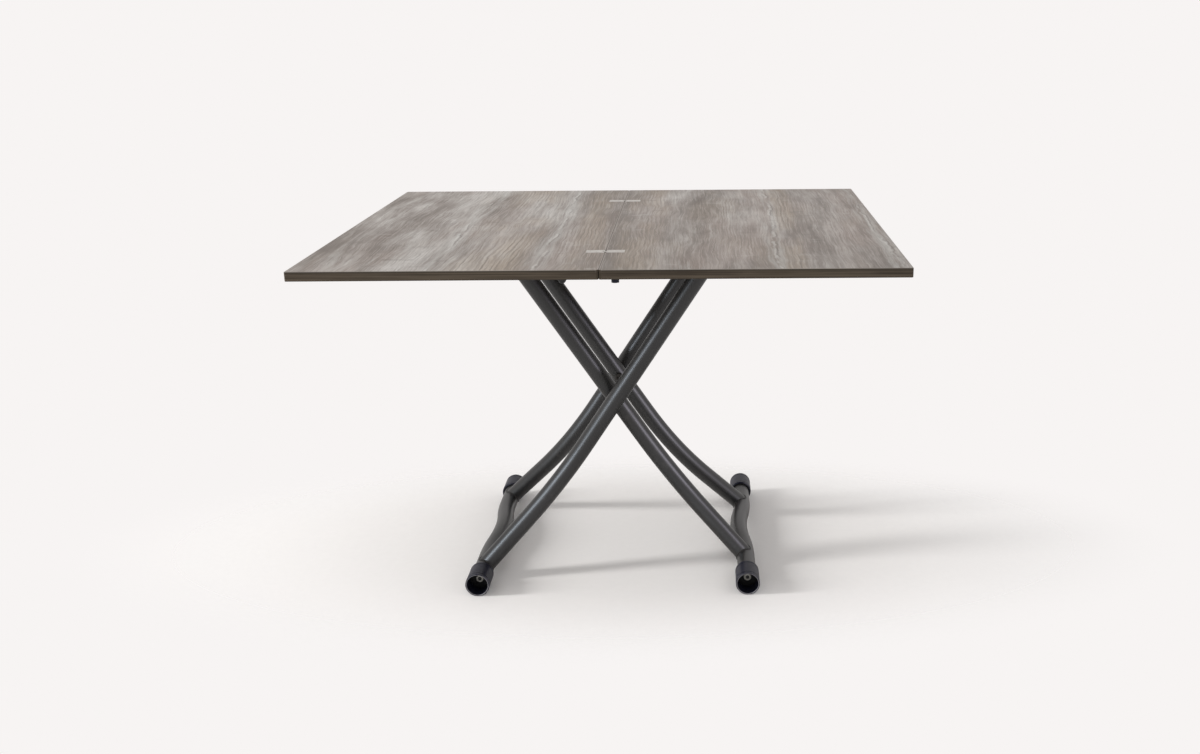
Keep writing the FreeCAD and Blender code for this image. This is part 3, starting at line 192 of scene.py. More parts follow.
floor_size = 7.0
fade_start, fade_end = 0.42, 1.05
fade_scale = (0.8, 1.75, 1)
floor_mesh = bpy.data.meshes.new("floor")
corner = floor_size / 2
floor_mesh.from_pydata(
    [(-corner, -corner, 0), (corner, -corner, 0), (corner, corner, 0), (-corner, corner, 0)],
    [],
    [(0, 1, 2, 3)],
)
floor = bpy.data.objects.new("floor", floor_mesh)
bpy.context.scene.collection.objects.link(floor)
paper, look = new_finish("floor_paper")
place = look.node("ShaderNodeTexCoord", {}, {}, "Object")
fibre = look.noise(place, (60, 60, 1), detail=3.0)
paper_colour = look.blend(fibre, tint(248, 246, 245), tint(253, 251, 250))
matte = look.node("ShaderNodeBsdfDiffuse", {}, {"Color": paper_colour})
clear = look.node("ShaderNodeBsdfTransparent", {}, {})
oval = look.node("ShaderNodeMapping", {}, {"Vector": place, "Scale": fade_scale})
distance = look.node("ShaderNodeVectorMath", {"operation": "LENGTH"}, {0: oval}, "Value")
fade = look.rise(distance, fade_start, fade_end)
from_below = look.node("ShaderNodeNewGeometry", {}, {}, "Backfacing")
hidden = fade.math("MAXIMUM", fade, from_below)
faded = look.node("ShaderNodeMixShader", {}, {0: hidden, 1: matte, 2: clear})
look.node("ShaderNodeOutputMaterial", {}, {"Surface": faded})
floor_mesh.materials.append(paper)


# Light: one far soft window on the left, and on each side a strip that only shows as a line
# along the tubes. The window has no mirror image of its own and the strips light nothing else,
# so the top doesn't glare.
def add_window(name, spot, target, width, height, power, colour):
    """A soft rectangular light that faces a point."""
    lamp = bpy.data.lights.new(name, "AREA")
    lamp.shape = "RECTANGLE"
    lamp.size = width
    lamp.size_y = height
    lamp.energy = power
    lamp.color = colour
    light = bpy.data.objects.new(name, lamp)
    light.location = spot
    light.rotation_euler = (Vector(target) - Vector(spot)).to_track_quat("-Z", "Y").to_euler()
    bpy.context.scene.collection.objects.link(light)
    return light


warm_white, cool_white, violet_white = (1, 0.99, 0.97), (0.80, 0.89, 1), (0.90, 0.86, 1)
window = add_window(
    "window_left",
    spot=(-8.4, -1.2, 3.4),
    target=(0, 0, 0.2),
    width=1.2,
    height=3.2,
    power=640,
    colour=warm_white,
)
window.visible_glossy = False
tube_names = (
    "inner_leg_front", "inner_leg_rear", "inner_foot_bar", "right_sleeve_front", "right_sleeve_rear",
    "outer_leg_front", "outer_leg_rear", "outer_foot_bar", "left_sleeve_front", "left_sleeve_rear",
)
tubes = bpy.data.collections.new("tubes")
for name in tube_names:
    tubes.objects.link(nodes[name])
strip_height = 4.6
strip_target = (0, 0, 0.35)
for name, spot, width, power, colour in (
    ("strip_left", (-4.4, -4.0, 3.0), 0.40, 540, cool_white),
    ("strip_right", (4.8, -3.3, 2.6), 0.50, 340, violet_white),
):
    strip = add_window(name, spot, strip_target, width, strip_height, power, colour)
    strip.visible_diffuse = False
    strip.light_linking.receiver_collection = tubes


# Leg frames: bent round steel tubes and bowed foot bars, welded and powder coated in graphite.
# The coat has a fine orange-peel skin and dulls a little where hands and shoes rub it.
def surface(look, sockets):
    """Ends the nodes of a material in one coated surface."""
    skin = look.node("ShaderNodeBsdfPrincipled", {}, sockets)
    look.node("ShaderNodeOutputMaterial", {}, {"Surface": skin})


def dress(material, *names):
    """Gives model parts a material."""
    for name in names:
        nodes[name].data.materials.clear()
        nodes[name].data.materials.append(material)


graphite, look = new_finish("graphite_powder_coat")
place = look.node("ShaderNodeTexCoord", {}, {}, "Object")
cloud = look.noise(place, (9, 9, 9), detail=3.0)
rub = look.rise(look.noise(place, (34, 34, 34), detail=4.0, roughness=0.6, start=(3, 1, 7)), 0.58, 0.74)
peel = look.noise(place, (850, 850, 850), detail=1.0)
coat_colour = look.blend(cloud, tint(24, 23, 22), tint(33, 32, 31))
coat_colour = look.blend(rub * 0.35, coat_colour, tint(64, 61, 58))
peel_bump = look.node("ShaderNodeBump", {}, {"Strength": 0.02, "Distance": 0.00005, "Height": peel})
surface(look, {
    "Base Color": coat_colour,
    "Specular IOR Level": 0.50,
    "Roughness": 0.38 + 0.06 * cloud + 0.06 * rub,
    "Normal": peel_bump,
})
dress(
    graphite,
    "inner_leg_front", "inner_leg_rear", "inner_foot_bar", "inner_cross_tube",
    "outer_leg_front", "outer_leg_rear", "outer_foot_bar", "outer_cross_tube",
    "inner_pivot_bushes", "outer_pivot_bosses", "inner_spring_lug",
)


# Weld beads: each leg is welded all round to its foot bar, and along both sides to its cross tube.
# The bead is a row of small overlapping ripples under the same powder coat.
leg_angle = math.radians(56.25)
bend_angle = math.radians(18.54)
bend_roll = math.radians(57)
leg_radius = 0.019
bar_radius = 0.0196
cross_radius = 0.0125
bend_radius = 0.686
tail_length = 0.134
bend_offset = bend_radius * (1 - math.cos(bend_angle)) + tail_length * math.sin(bend_angle)
inner_spread, outer_spread = 0.086, 0.136
rim_points, arc_points = 90, 21
arc_half = math.radians(46)

bead_tree = bpy.data.node_groups.new("weld_bead", "GeometryNodeTree")
bead_tree.interface.new_socket("Seam", in_out="INPUT", socket_type="NodeSocketGeometry")
for name in ("Bead Radius", "Ripple Length", "Ripple Share"):
    bead_tree.interface.new_socket(name, in_out="INPUT", socket_type="NodeSocketFloat")
bead_tree.interface.new_socket("Coat", in_out="INPUT", socket_type="NodeSocketMaterial")
bead_tree.interface.new_socket("Bead", in_out="OUTPUT", socket_type="NodeSocketGeometry")
steps = Nodes(bead_tree)
seam = steps.node("NodeGroupInput", {}, {}, "Seam")
ripple_length = seam.output("Ripple Length")
steps_per_ripple = 5
step_length = ripple_length / steps_per_ripple
line = steps.node("GeometryNodeMeshToCurve", {}, {"Mesh": seam})
line = steps.node("GeometryNodeResampleCurve", {"mode": "LENGTH"}, {
    "Curve": line,
    "Length": step_length,
})
along = steps.node("GeometryNodeSplineParameter", {}, {}, "Length")
ripple = (along / ripple_length * math.tau).sine() * seam.output("Ripple Share")
ring = steps.node("GeometryNodeCurvePrimitiveCircle", {}, {"Resolution": 10, "Radius": 1.0})
bead = steps.node("GeometryNodeCurveToMesh", {}, {
    "Curve": line,
    "Profile Curve": ring,
    "Scale": seam.output("Bead Radius") * (1 + ripple),
    "Fill Caps": True,
})
bead = steps.node("GeometryNodeSetShadeSmooth", {}, {"Geometry": bead})
bead = steps.node("GeometryNodeRealizeInstances", {}, {"Geometry": bead})
bead = steps.node("GeometryNodeSetMaterial", {}, {"Geometry": bead, "Material": seam.output("Coat")})
steps.node("NodeGroupOutput", {}, {"Bead": bead})


def settle(name, mesh, tree, sizes, body):
    """Runs a geometry tree on a mesh and keeps the result as a plain mesh on a body."""
    piece = bpy.data.objects.new(name, mesh)
    bpy.context.scene.collection.objects.link(piece)
    maker = piece.modifiers.new(tree.name, "NODES")
    maker.node_group = tree
    for socket in tree.interface.items_tree:
        if socket.in_out == "INPUT" and socket.name in sizes:
            maker[socket.identifier] = sizes[socket.name]
    evaluated = piece.evaluated_get(bpy.context.evaluated_depsgraph_get())
    made = bpy.data.meshes.new_from_object(evaluated)
    piece.modifiers.clear()
    piece.data = made
    made.name = name
    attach(piece, body)
    return piece


def weld_frame(name, turn, foot, axle, spread, body):
    """The weld beads of one leg frame, front and rear."""
    spots, edges = [], []

    def add_seam(points, closed):
        first = len(spots)
        spots.extend(points)
        edges.extend((first + i, first + i + 1) for i in range(len(points) - 1))
        if closed:
            edges.append((len(spots) - 1, first))

    for side in (1, -1):
        tail = turn @ Vector((math.cos(bend_angle), 0, math.sin(bend_angle)))
        tail.y *= side
        toe = Vector((foot[0], -side * (spread + bend_offset * math.sin(bend_roll)), foot[2]))
        first = tail.orthogonal().normalized()
        second = tail.cross(first)
        flat = tail.x ** 2 + tail.z ** 2
        rim = []
        for step in range(rim_points):
            angle = math.tau * step / rim_points
            out = (first * math.cos(angle) + second * math.sin(angle)) * leg_radius
            lean = out.x * tail.x + out.z * tail.z
            gap = out.x ** 2 + out.z ** 2 - bar_radius ** 2
            rim.append(toe + out - tail * ((lean + math.sqrt(lean ** 2 - flat * gap)) / flat))
        add_seam(rim, True)
        down = turn @ Vector((1, 0, 0))
        aside = Vector((-down.z, 0, down.x))
        for face in (1, -1):
            arc = []
            for step in range(arc_points):
                angle = arc_half * (2 * step / (arc_points - 1) - 1)
                reach = math.sqrt(leg_radius ** 2 - (cross_radius * math.sin(angle)) ** 2)
                spot = Vector((axle[0], side * spread + face * reach, axle[2]))
                arc.append(spot + (down * math.cos(angle) + aside * math.sin(angle)) * cross_radius)
            add_seam(arc, False)
    mesh = bpy.data.meshes.new(name)
    mesh.from_pydata(spots, edges, [])
    sizes = {"Bead Radius": 0.0021, "Ripple Length": 0.0042, "Ripple Share": 0.14, "Coat": graphite}
    settle(name, mesh, bead_tree, sizes, body)


inner_turn = Matrix.Rotation(leg_angle, 3, "Y") @ Matrix.Rotation(bend_roll, 3, "X")
outer_turn = Matrix.Rotation(math.pi - leg_angle, 3, "Y") @ Matrix.Rotation(math.pi - bend_roll, 3, "X")
inner_axle = joints["level"]["pos_m"]
outer_axle = joints["front_roller_spin"]["pos_m"]
inner_foot = joints["lift"]["pos_m"]
outer_foot = joints["left_front_roll"]["pos_m"]
weld_frame("inner_frame_welds", inner_turn, inner_foot, inner_axle, inner_spread, "inner_frame")
weld_frame("outer_frame_welds", outer_turn, outer_foot, outer_axle, outer_spread, "outer_frame")


# Foot sleeves: moulded blue-black plastic cups that turn on the ends of the foot bars.
# Their skin is finely grained. The inside of the mouth is painted shade, and a painted highlight runs
# round the inner edge of the rim. Plugs of the same plastic close the bars.
sleeve_plastic, look = new_finish("sleeve_plastic")
place = look.node("ShaderNodeTexCoord", {}, {}, "Object")
grain = look.node("ShaderNodeTexVoronoi", {}, {"Vector": place, "Scale": 1400.0}, "Distance")
dust = look.rise(look.noise(place, (70, 70, 70), detail=4.0, roughness=0.65), 0.52, 0.72)
mouth_radius = 0.0224
rim_highlight_radius, rim_highlight_end = 0.0236, 0.0246
mouth_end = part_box("right_sleeve_rear")[1].y
foot_middle = (inner_foot[0] + outer_foot[0]) / 2
foot_spread = (inner_foot[0] - outer_foot[0]) / 2


def axis_distance(look, place):
    """How far a point is from the axis of the nearer foot, and how far along that axis."""
    x = look.node("ShaderNodeSeparateXYZ", {}, {"Vector": place}, "X")
    beside = abs(x - foot_middle) - foot_spread
    above = x.output("Z") - inner_foot[2]
    return (beside ** 2 + above ** 2) ** 0.5, abs(x.output("Y"))


radius, along = axis_distance(look, place)
# Painted shade: the inside of each sleeve mouth is coloured near black.
mouth_shade = 1 - look.rise(radius, mouth_radius - 0.0004, mouth_radius + 0.0001)
at_mouth = look.rise(along, mouth_end - 0.0012, mouth_end - 0.0004)
# Painted highlight: a pale ring along the inner edge of each sleeve rim.
rim_highlight = at_mouth * (1 - look.rise(radius, rim_highlight_radius, rim_highlight_end))
plastic_colour = look.blend(dust * 0.5, tint(13, 14, 31), tint(25, 27, 46))
plastic_colour = look.blend(mouth_shade, plastic_colour, tint(9, 9, 10))
plastic_colour = look.blend(rim_highlight * 0.70, plastic_colour, tint(140, 138, 142))
grain_bump = look.node("ShaderNodeBump", {}, {"Strength": 0.25, "Distance": 0.00015, "Height": grain})
surface(look, {
    "Base Color": plastic_colour,
    "Specular IOR Level": 0.22,
    "Roughness": 0.44 + 0.16 * dust,
    "Normal": grain_bump,
})
dress(
    sleeve_plastic,
    "right_sleeve_front", "right_sleeve_rear", "left_sleeve_front", "left_sleeve_rear",
    "inner_bar_plugs", "outer_bar_plugs",
)


# Sleeve screws and pivot bolts: zinc-plated socket screws, one in the mouth of each sleeve,
# and one on the inside of each crossing that holds the two leg frames together.
# The sleeve screws are duller, with painted shade in their sockets, and the pivot bolts are blackened.
zinc, look = new_finish("zinc_plate")
place = look.node("ShaderNodeTexCoord", {}, {}, "Object")
bloom = look.noise(place, (240, 240, 240), detail=4.0, roughness=0.6)
scratch = look.noise(place, (1500, 1500, 120), detail=2.0)
zinc_colour = look.blend(bloom, tint(176, 176, 172), tint(206, 205, 203))
surface(look, {
    "Base Color": zinc_colour,
    "Metallic": 1.0,
    "Roughness": 0.26 + 0.16 * bloom + 0.08 * scratch,
})
dull_zinc, look = new_finish("greased_zinc")
place = look.node("ShaderNodeTexCoord", {}, {}, "Object")
bloom = look.noise(place, (240, 240, 240), detail=4.0, roughness=0.6)
radius = axis_distance(look, place)[0]
# Painted shade: the socket of each sleeve screw is coloured near black and not metallic.
socket_shade_full, socket_shade_end = 0.0036, 0.0048
socket_shade = 1 - look.rise(radius, socket_shade_full, socket_shade_end)
dull_colour = look.blend(bloom, tint(132, 131, 126), tint(164, 163, 158))
surface(look, {
    "Base Color": look.blend(socket_shade, dull_colour, tint(18, 17, 16)),
    "Metallic": 1 - socket_shade,
    "Roughness": 0.40 + 0.14 * bloom,
})


def screw_tree(name, flat_head, socket_sides):
    """A geometry tree that sets one screw on each given point.

    A flat head sinks into its seat. A recess with no sides is a cross."""
    tree = bpy.data.node_groups.new(name, "GeometryNodeTree")
    tree.interface.new_socket("Spots", in_out="INPUT", socket_type="NodeSocketGeometry")
    sizes = (
        "Head Radius", "Head Height", "Head Bevel", "Shank Radius", "Shank Length",
        "Recess Reach", "Recess Width", "Recess Depth",
    )
    for size in sizes:
        tree.interface.new_socket(size, in_out="INPUT", socket_type="NodeSocketFloat")
    tree.interface.new_socket("Metal", in_out="INPUT", socket_type="NodeSocketMaterial")
    tree.interface.new_socket("Screws", in_out="OUTPUT", socket_type="NodeSocketGeometry")
    steps = Nodes(tree)
    spots = steps.node("NodeGroupInput", {}, {}, "Spots")
    head_radius, head_height, head_bevel, shank_radius, shank_length, reach, width, depth = (
        spots.output(size) for size in sizes
    )

    def lift(shape, height):
        offset = steps.node("ShaderNodeCombineXYZ", {}, {"Z": height})
        return steps.node("GeometryNodeTransform", {}, {"Geometry": shape, "Translation": offset})

    if flat_head:
        head = steps.node("GeometryNodeMeshCone", {}, {
            "Vertices": 40,
            "Radius Top": head_radius,
            "Radius Bottom": shank_radius,
            "Depth": head_height,
        })
        head = lift(head, 0 - head_height)
        top = 0.0
        shank_middle = (shank_length + head_height) * -0.5
        shank_length = shank_length - head_height
    else:
        side = steps.node("GeometryNodeMeshCylinder", {}, {
            "Vertices": 40,
            "Radius": head_radius,
            "Depth": head_height - head_bevel,
        })
        rim = steps.node("GeometryNodeMeshCone", {}, {
            "Vertices": 40,
            "Radius Top": head_radius - head_bevel,
            "Radius Bottom": head_radius,
            "Depth": head_bevel,
        })
        parts = [lift(side, (head_height - head_bevel) / 2), lift(rim, head_height - head_bevel)]
        head = steps.node("GeometryNodeMeshBoolean", {"operation": "UNION"}, {"Mesh 2": parts})
        top = head_height
        shank_middle = shank_length * -0.5
    if socket_sides:
        recess = steps.node("GeometryNodeMeshCylinder", {}, {
            "Vertices": socket_sides,
            "Radius": reach,
            "Depth": depth * 2,
        })
        cutters = [lift(recess, top)]
    else:
        cutters = []
        for x, y in ((reach * 2, width), (width, reach * 2)):
            size = steps.node("ShaderNodeCombineXYZ", {}, {"X": x, "Y": y, "Z": depth * 2})
            cutters.append(lift(steps.node("GeometryNodeMeshCube", {}, {"Size": size}), top))
    cut = {"Mesh 1": head, "Mesh 2": cutters}
    head = steps.node("GeometryNodeMeshBoolean", {"operation": "DIFFERENCE"}, cut)
    shank = steps.node("GeometryNodeMeshCylinder", {}, {
        "Vertices": 24,
        "Radius": shank_radius,
        "Depth": shank_length,
    })
    screw = steps.node("GeometryNodeJoinGeometry", {}, {"Geometry": [head, lift(shank, shank_middle)]})
    named = {"data_type": "QUATERNION"}
    facing = steps.node("GeometryNodeInputNamedAttribute", named, {"Name": "facing"})
    placed = steps.node("GeometryNodeInstanceOnPoints", {}, {
        "Points": spots,
        "Instance": screw,
        "Rotation": facing,
    })
    placed = steps.node("GeometryNodeRealizeInstances", {}, {"Geometry": placed})
    metal = spots.output("Metal")
    placed = steps.node("GeometryNodeSetMaterial", {}, {"Geometry": placed, "Material": metal})
    steps.node("NodeGroupOutput", {}, {"Screws": placed})
    return tree


first_turn, next_turn = 0.7, 2.4


def set_screws(node, tree, sizes, seats, body):
    """Puts screws in the place of a model part. Each seat is a point and the way that its head faces."""
    mesh = bpy.data.meshes.new(node + "_seats")
    mesh.from_pydata([spot for spot, way in seats], [], [])
    facing = mesh.attributes.new("facing", "QUATERNION", "POINT")
    for index, (spot, way) in enumerate(seats):
        spin = Quaternion((0, 0, 1), first_turn + next_turn * index)
        turned = Vector(way).to_track_quat("Z", "Y") @ spin
        facing.data[index].value = turned
    piece = settle(node + "_turned", mesh, tree, sizes, body)
    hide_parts(node)


socket_tree = screw_tree("socket_screw", False, 6)
sleeve_screw = {
    "Head Radius": 0.0085,
    "Head Height": 0.004,
    "Head Bevel": 0.0012,
    "Shank Radius": 0.004,
    "Shank Length": 0.02,
    "Recess Reach": 0.0046,
    "Recess Depth": 0.0034,
    "Metal": dull_zinc,
}
for node, foot, body in (
    ("inner_sleeve_screws", inner_foot, "inner_frame"),
    ("outer_sleeve_screws", outer_foot, "outer_frame"),
):
    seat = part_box(node)[1].y - sleeve_screw["Head Height"]
    seats = [((foot[0], side * seat, foot[2]), (0, side, 0)) for side in (-1, 1)]
    set_screws(node, socket_tree, sleeve_screw, seats, body)

black_zinc, look = new_finish("black_zinc")
place = look.node("ShaderNodeTexCoord", {}, {}, "Object")
bloom = look.noise(place, (240, 240, 240), detail=4.0, roughness=0.6)
surface(look, {
    "Base Color": look.blend(bloom, tint(58, 56, 54), tint(78, 76, 74)),
    "Metallic": 1.0,
    "Roughness": 0.32 + 0.14 * bloom,
})
pivot = joints["scissor"]["pos_m"]
pivot_bolt = {
    "Head Radius": 0.009,
    "Head Height": 0.0055,
    "Head Bevel": 0.0008,
    "Shank Radius": 0.005,
    "Shank Length": 0.0823,
    "Recess Reach": 0.0042,
    "Recess Depth": 0.003,
    "Metal": black_zinc,
}
bolt_seat = 0.0637
seats = [((pivot[0], side * bolt_seat, pivot[2]), (0, -side, 0)) for side in (-1, 1)]
set_screws("pivot_bolts", socket_tree, pivot_bolt, seats, "outer_frame")


# Washers and bushes: black nylon washers keep the two leg frames apart at the crossing.
# The axle bushes, guide rollers, glides and swivel bearing are turned from natural nylon.
nylon, look = new_finish("natural_nylon")
place = look.node("ShaderNodeTexCoord", {}, {}, "Object")
haze = look.noise(place, (55, 55, 55), detail=3.0)
turning = look.noise(place, (300, 1600, 300), detail=2.0)
surface(look, {
    "Base Color": look.blend(haze, tint(206, 203, 194), tint(226, 224, 218)),
    "Roughness": 0.42 + 0.14 * turning,
    "Subsurface Weight": 0.08,
    "Subsurface Scale": 0.004,
})
dress(
    nylon,
    "inner_axle_bushes", "guide_roller_front", "guide_roller_rear", "glide_pads", "swivel_bearing",
)
dress(sleeve_plastic, "pivot_washers")


# Axles: bright drawn steel bars, one fixed through the rails and one that carries the guide rollers.
# Both are zinc plated.
dress(zinc, "fixed_axle", "outer_roller_axle")


# Under frame: two folded steel channels and two box tubes, powder coated like the legs.
# The base plate of the swivel is welded across the channels.
dress(graphite, "rail_front", "rail_rear", "frame_cross_left", "frame_cross_right", "swivel_base_plate")


# Swivel: a plate with a turned hub under the fixed leaf, held down by a plated ring.
# Four cross-recess screws hold the plate to the board.
dress(graphite, "swivel_plate")
dress(zinc, "swivel_retainer")
cross_tree = screw_tree("cross_screw", False, 0)
swivel_screw = {
    "Head Radius": 0.0045,
    "Head Height": 0.0025,
    "Head Bevel": 0.0009,
    "Shank Radius": 0.0022,
    "Shank Length": 0.017,
    "Recess Reach": 0.0023,
    "Recess Width": 0.0009,
    "Recess Depth": 0.0014,
    "Metal": zinc,
}
swivel = joints["swivel"]["pos_m"]
screw_reach = 0.085
seats = [
    ((swivel[0] + x * screw_reach, swivel[1] + y * screw_reach, swivel[2]), (0, 0, -1))
    for x in (-1, 1)
    for y in (-1, 1)
]
set_screws("swivel_screws", cross_tree, swivel_screw, seats, "swivel_top")


# Gas spring: a black lacquered cylinder with a hard chromed rod, between a bracket and a lug.
# A zinc-plated pin holds each end.
lacquer, look = new_finish("black_lacquer")
place = look.node("ShaderNodeTexCoord", {}, {}, "Object")
cloud = look.noise(place, (20, 60, 60), detail=3.0)
surface(look, {
    "Base Color": look.blend(cloud, tint(24, 24, 25), tint(34, 34, 35)),
    "Roughness": 0.18 + 0.12 * cloud,
    "Coat Weight": 0.4,
    "Coat Roughness": 0.08,
})
chrome, look = new_finish("hard_chrome")
place = look.node("ShaderNodeTexCoord", {}, {}, "Object")
grinding = look.noise(place, (1800, 40, 40), detail=2.0)
surface(look, {
    "Base Color": look.blend(grinding, tint(206, 208, 210), tint(222, 224, 226)),
    "Metallic": 1.0,
    "Roughness": 0.07 + 0.07 * grinding,
})
dress(lacquer, "spring_cylinder")
dress(chrome, "spring_rod")
dress(graphite, "spring_bracket")
dress(zinc, "spring_lug_pin", "spring_bracket_pin")


# Release lever: a plated rod on a small bracket on the front rail, with a soft black grip.
# It turns on a plated pin through the bracket.
rubber, look = new_finish("grip_rubber")
place = look.node("ShaderNodeTexCoord", {}, {}, "Object")
bloom = look.noise(place, (120, 120, 120), detail=3.0)
pebble = look.node("ShaderNodeTexVoronoi", {}, {"Vector": place, "Scale": 1900.0}, "Distance")
pebble_bump = look.node("ShaderNodeBump", {}, {"Strength": 0.3, "Distance": 0.0002, "Height": pebble})
surface(look, {
    "Base Color": look.blend(bloom, tint(28, 28, 29), tint(40, 40, 41)),
    "Roughness": 0.55 + 0.15 * bloom,
    "Normal": pebble_bump,
})
dress(graphite, "lever_bracket")
dress(zinc, "lever_pin", "release_lever")
dress(rubber, "lever_grip")


# Leaves: two boards faced with a grey-brown weathered oak print, with the grain along the seam.
# Grey, taupe and tan patches lie under fine growth lines, with chalky streaks and a few split lines
# that run the whole length of the board.
def weathered_oak(name, start, tone_and_sheen, tan_bands, pale_bands, splits):
    """The oak print of one leaf. A band is its middle across the grain and its half width.

    A split is its place across the grain."""
    sway_reach, wobble_reach, jitter_reach, wander_reach = 0.060, 0.017, 0.004, 0.024
    halo_core, halo_edge = 0.002, 0.026
    line_core, line_edge = 0.0010, 0.0042
    shade_core, shade_edge, shade_offset = 0.0006, 0.0030, 0.0045
    rings_per_metre, ring_sway = 118, 11
    seam_reach = 0.15
    material, look = new_finish(name)
    spot = look.node("ShaderNodeTexCoord", {}, {}, "Object")
    place = look.node("ShaderNodeVectorMath", {"operation": "ADD"}, {0: spot, 1: start})
    sway = look.noise(place, (3.0, 1.1, 1), detail=2.0)
    wobble = look.noise(place, (17, 7, 1), detail=2.0)
    jitter = look.noise(place, (70, 34, 1), detail=1.0)
    x = look.node("ShaderNodeSeparateXYZ", {}, {"Vector": spot}, "X")
    bent_x = x + (sway - 0.5) * sway_reach + (wobble - 0.5) * wobble_reach + (jitter - 0.5) * jitter_reach
    bent = look.node("ShaderNodeCombineXYZ", {}, {"X": bent_x + start[0], "Y": x.output("Y") + start[1]})

    def band(middle, half):
        return 1 - look.rise(abs(bent_x - middle), half * 0.35, half)

    def patch(scale, low, high, corner, detail=3.0):
        return look.rise(look.noise(place, scale, detail, 0.55, corner), low, high)

    tan = patch((9, 2.2, 1), 0.50, 0.70, (11, 3, 0)) * 0.45
    for middle, half in tan_bands:
        tan = tan + band(middle, half) * patch((9, 2.5, 1), 0.36, 0.56, (4, 13, 0))
    pale = patch((9, 2.2, 1), 0.50, 0.72, (9, 2, 0)) * 0.5
    for middle, half in pale_bands:
        pale = pale + band(middle, half) * patch((11, 2.8, 1), 0.38, 0.60, (1, 8, 0))

    plank = look.noise(bent, (6, 0.4, 1), detail=2.0, roughness=0.5, start=(2, 5, 0))
    cloud = look.noise(bent, (13, 3.0, 1), detail=5.0, roughness=0.60, start=(6, 1, 0))
    streak = look.noise(bent, (62, 2.4, 1), detail=4.0, roughness=0.62, start=(5, 1, 0))
    fibre = look.noise(bent, (330, 8, 1), detail=3.0, roughness=0.60)
    figure = look.noise(bent, (3.4, 0.8, 1), detail=1.0, roughness=0.4, start=(7, 9, 0))
    rings = (bent_x * rings_per_metre + figure * ring_sway) * math.tau
    growth = (rings.sine() * 0.5 + 0.5) ** 2.2
    growth = growth * look.rise(streak, 0.34, 0.60)

    near_seam = 1 - look.rise(abs(x), 0.0, seam_reach)
    tone = plank * 0.9 + cloud * 1.5 + streak * 0.8 - 1.08
    # Painted sheen: away from the seam the flip leaf is lighter and the fixed leaf darker, partly for the
    # light from the left and partly as the leaves' own tone.
    tone = tone - near_seam * 0.26 + (1 - near_seam) * tone_and_sheen
    colour = look.node("ShaderNodeValToRGB", {"stops": [
        (0.22, tint(103, 94, 87)),
        (0.42, tint(132, 124, 118)),
        (0.58, tint(153, 146, 141)),
        (0.80, tint(186, 182, 178)),
    ]}, {"Fac": tone})
    colour = look.blend(patch((8, 1.8, 1), 0.46, 0.68, (3, 17, 0)) * 0.36, colour, tint(156, 139, 130))
    colour = look.blend(tan * 0.38, colour, tint(160, 144, 124))
    colour = look.blend(growth * (0.22 + tan * 0.38), colour, tint(96, 85, 76))
    colour = look.blend(look.rise(fibre, 0.48, 0.64) * 0.40, colour, tint(98, 89, 82))
    colour = look.blend(look.rise(fibre, 0.50, 0.34) * 0.26, colour, tint(188, 182, 176))
    brushed = look.noise(bent, (34, 3.0, 1), detail=5.0, roughness=0.66, start=(8, 6, 0))
    brushed = look.rise(brushed, 0.50, 0.72)
    colour = look.blend(brushed * (0.16 + pale * 0.40), colour, tint(192, 190, 186))
    wisp = patch((13, 34, 1), 0.60, 0.70, (2, 2, 0), 4.0) * patch((4, 4, 1), 0.48, 0.60, (5, 5, 0))
    colour = look.blend(wisp * 0.34, colour, tint(94, 86, 80))
    smear = patch((11, 30, 1), 0.60, 0.74, (7, 1, 0), 4.0) * patch((4, 4, 1), 0.46, 0.60, (1, 6, 0))
    colour = look.blend(smear * 0.34, colour, tint(196, 193, 189))
    height = fibre * 0.5 - growth * 0.25
    wander = look.noise(place, (24, 9, 1), detail=3.0, roughness=0.6, start=(3, 3, 0))
    wander = (wander - 0.5) * wander_reach
    broken = patch((9, 11, 1), 0.44, 0.58, (8, 3, 0))
    for middle in splits:
        away = bent_x + wander - middle
        halo = (1 - look.rise(abs(away), halo_core, halo_edge)) * look.rise(streak, 0.40, 0.62)
        line = (1 - look.rise(abs(away), line_core, line_edge)) * broken
        shade = (1 - look.rise(abs(away - shade_offset), shade_core, shade_edge)) * broken
        colour = look.blend(halo * 0.36, colour, tint(190, 190, 187))
        colour = look.blend(shade * 0.46, colour, tint(88, 80, 74))
        colour = look.blend(line * 0.40, colour, tint(204, 202, 198))
        height = height - shade * 0.6
    pore = look.noise(bent, (820, 46, 1), detail=2.0, roughness=0.5, start=(8, 8, 0))
    pore = look.rise(pore, 0.62, 0.70)
    colour = look.blend(pore * 0.30, colour, tint(80, 72, 66))
    grain_bump = look.node("ShaderNodeBump", {}, {
        "Strength": 0.20,
        "Distance": 0.0004,
        "Height": height - pore * 0.5,
    })
    surface(look, {
        "Base Color": colour,
        "Specular IOR Level": 0.35,
        "Roughness": 0.44 + 0.14 * streak + 0.08 * pale,
        "Normal": grain_bump,
    })
    return material


oak_right = weathered_oak(
    "oak_fixed_leaf",
    start=(3.1, 0.4, 0),
    tone_and_sheen=-0.09,
    tan_bands=[(0.062, 0.062), (0.365, 0.030)],
    pale_bands=[(0.195, 0.085), (0.545, 0.030)],
    splits=[0.336, 0.550],
)
oak_left = weathered_oak(
    "oak_flip_leaf",
    start=(-2.2, 1.7, 0),
    tone_and_sheen=0.10,
    tan_bands=[(-0.215, 0.090), (-0.045, 0.040)],
    pale_bands=[(-0.465, 0.110), (-0.300, 0.050)],
    splits=[-0.320, -0.120],
)
dress(oak_right, "fixed_leaf")
dress(oak_left, "flip_leaf")
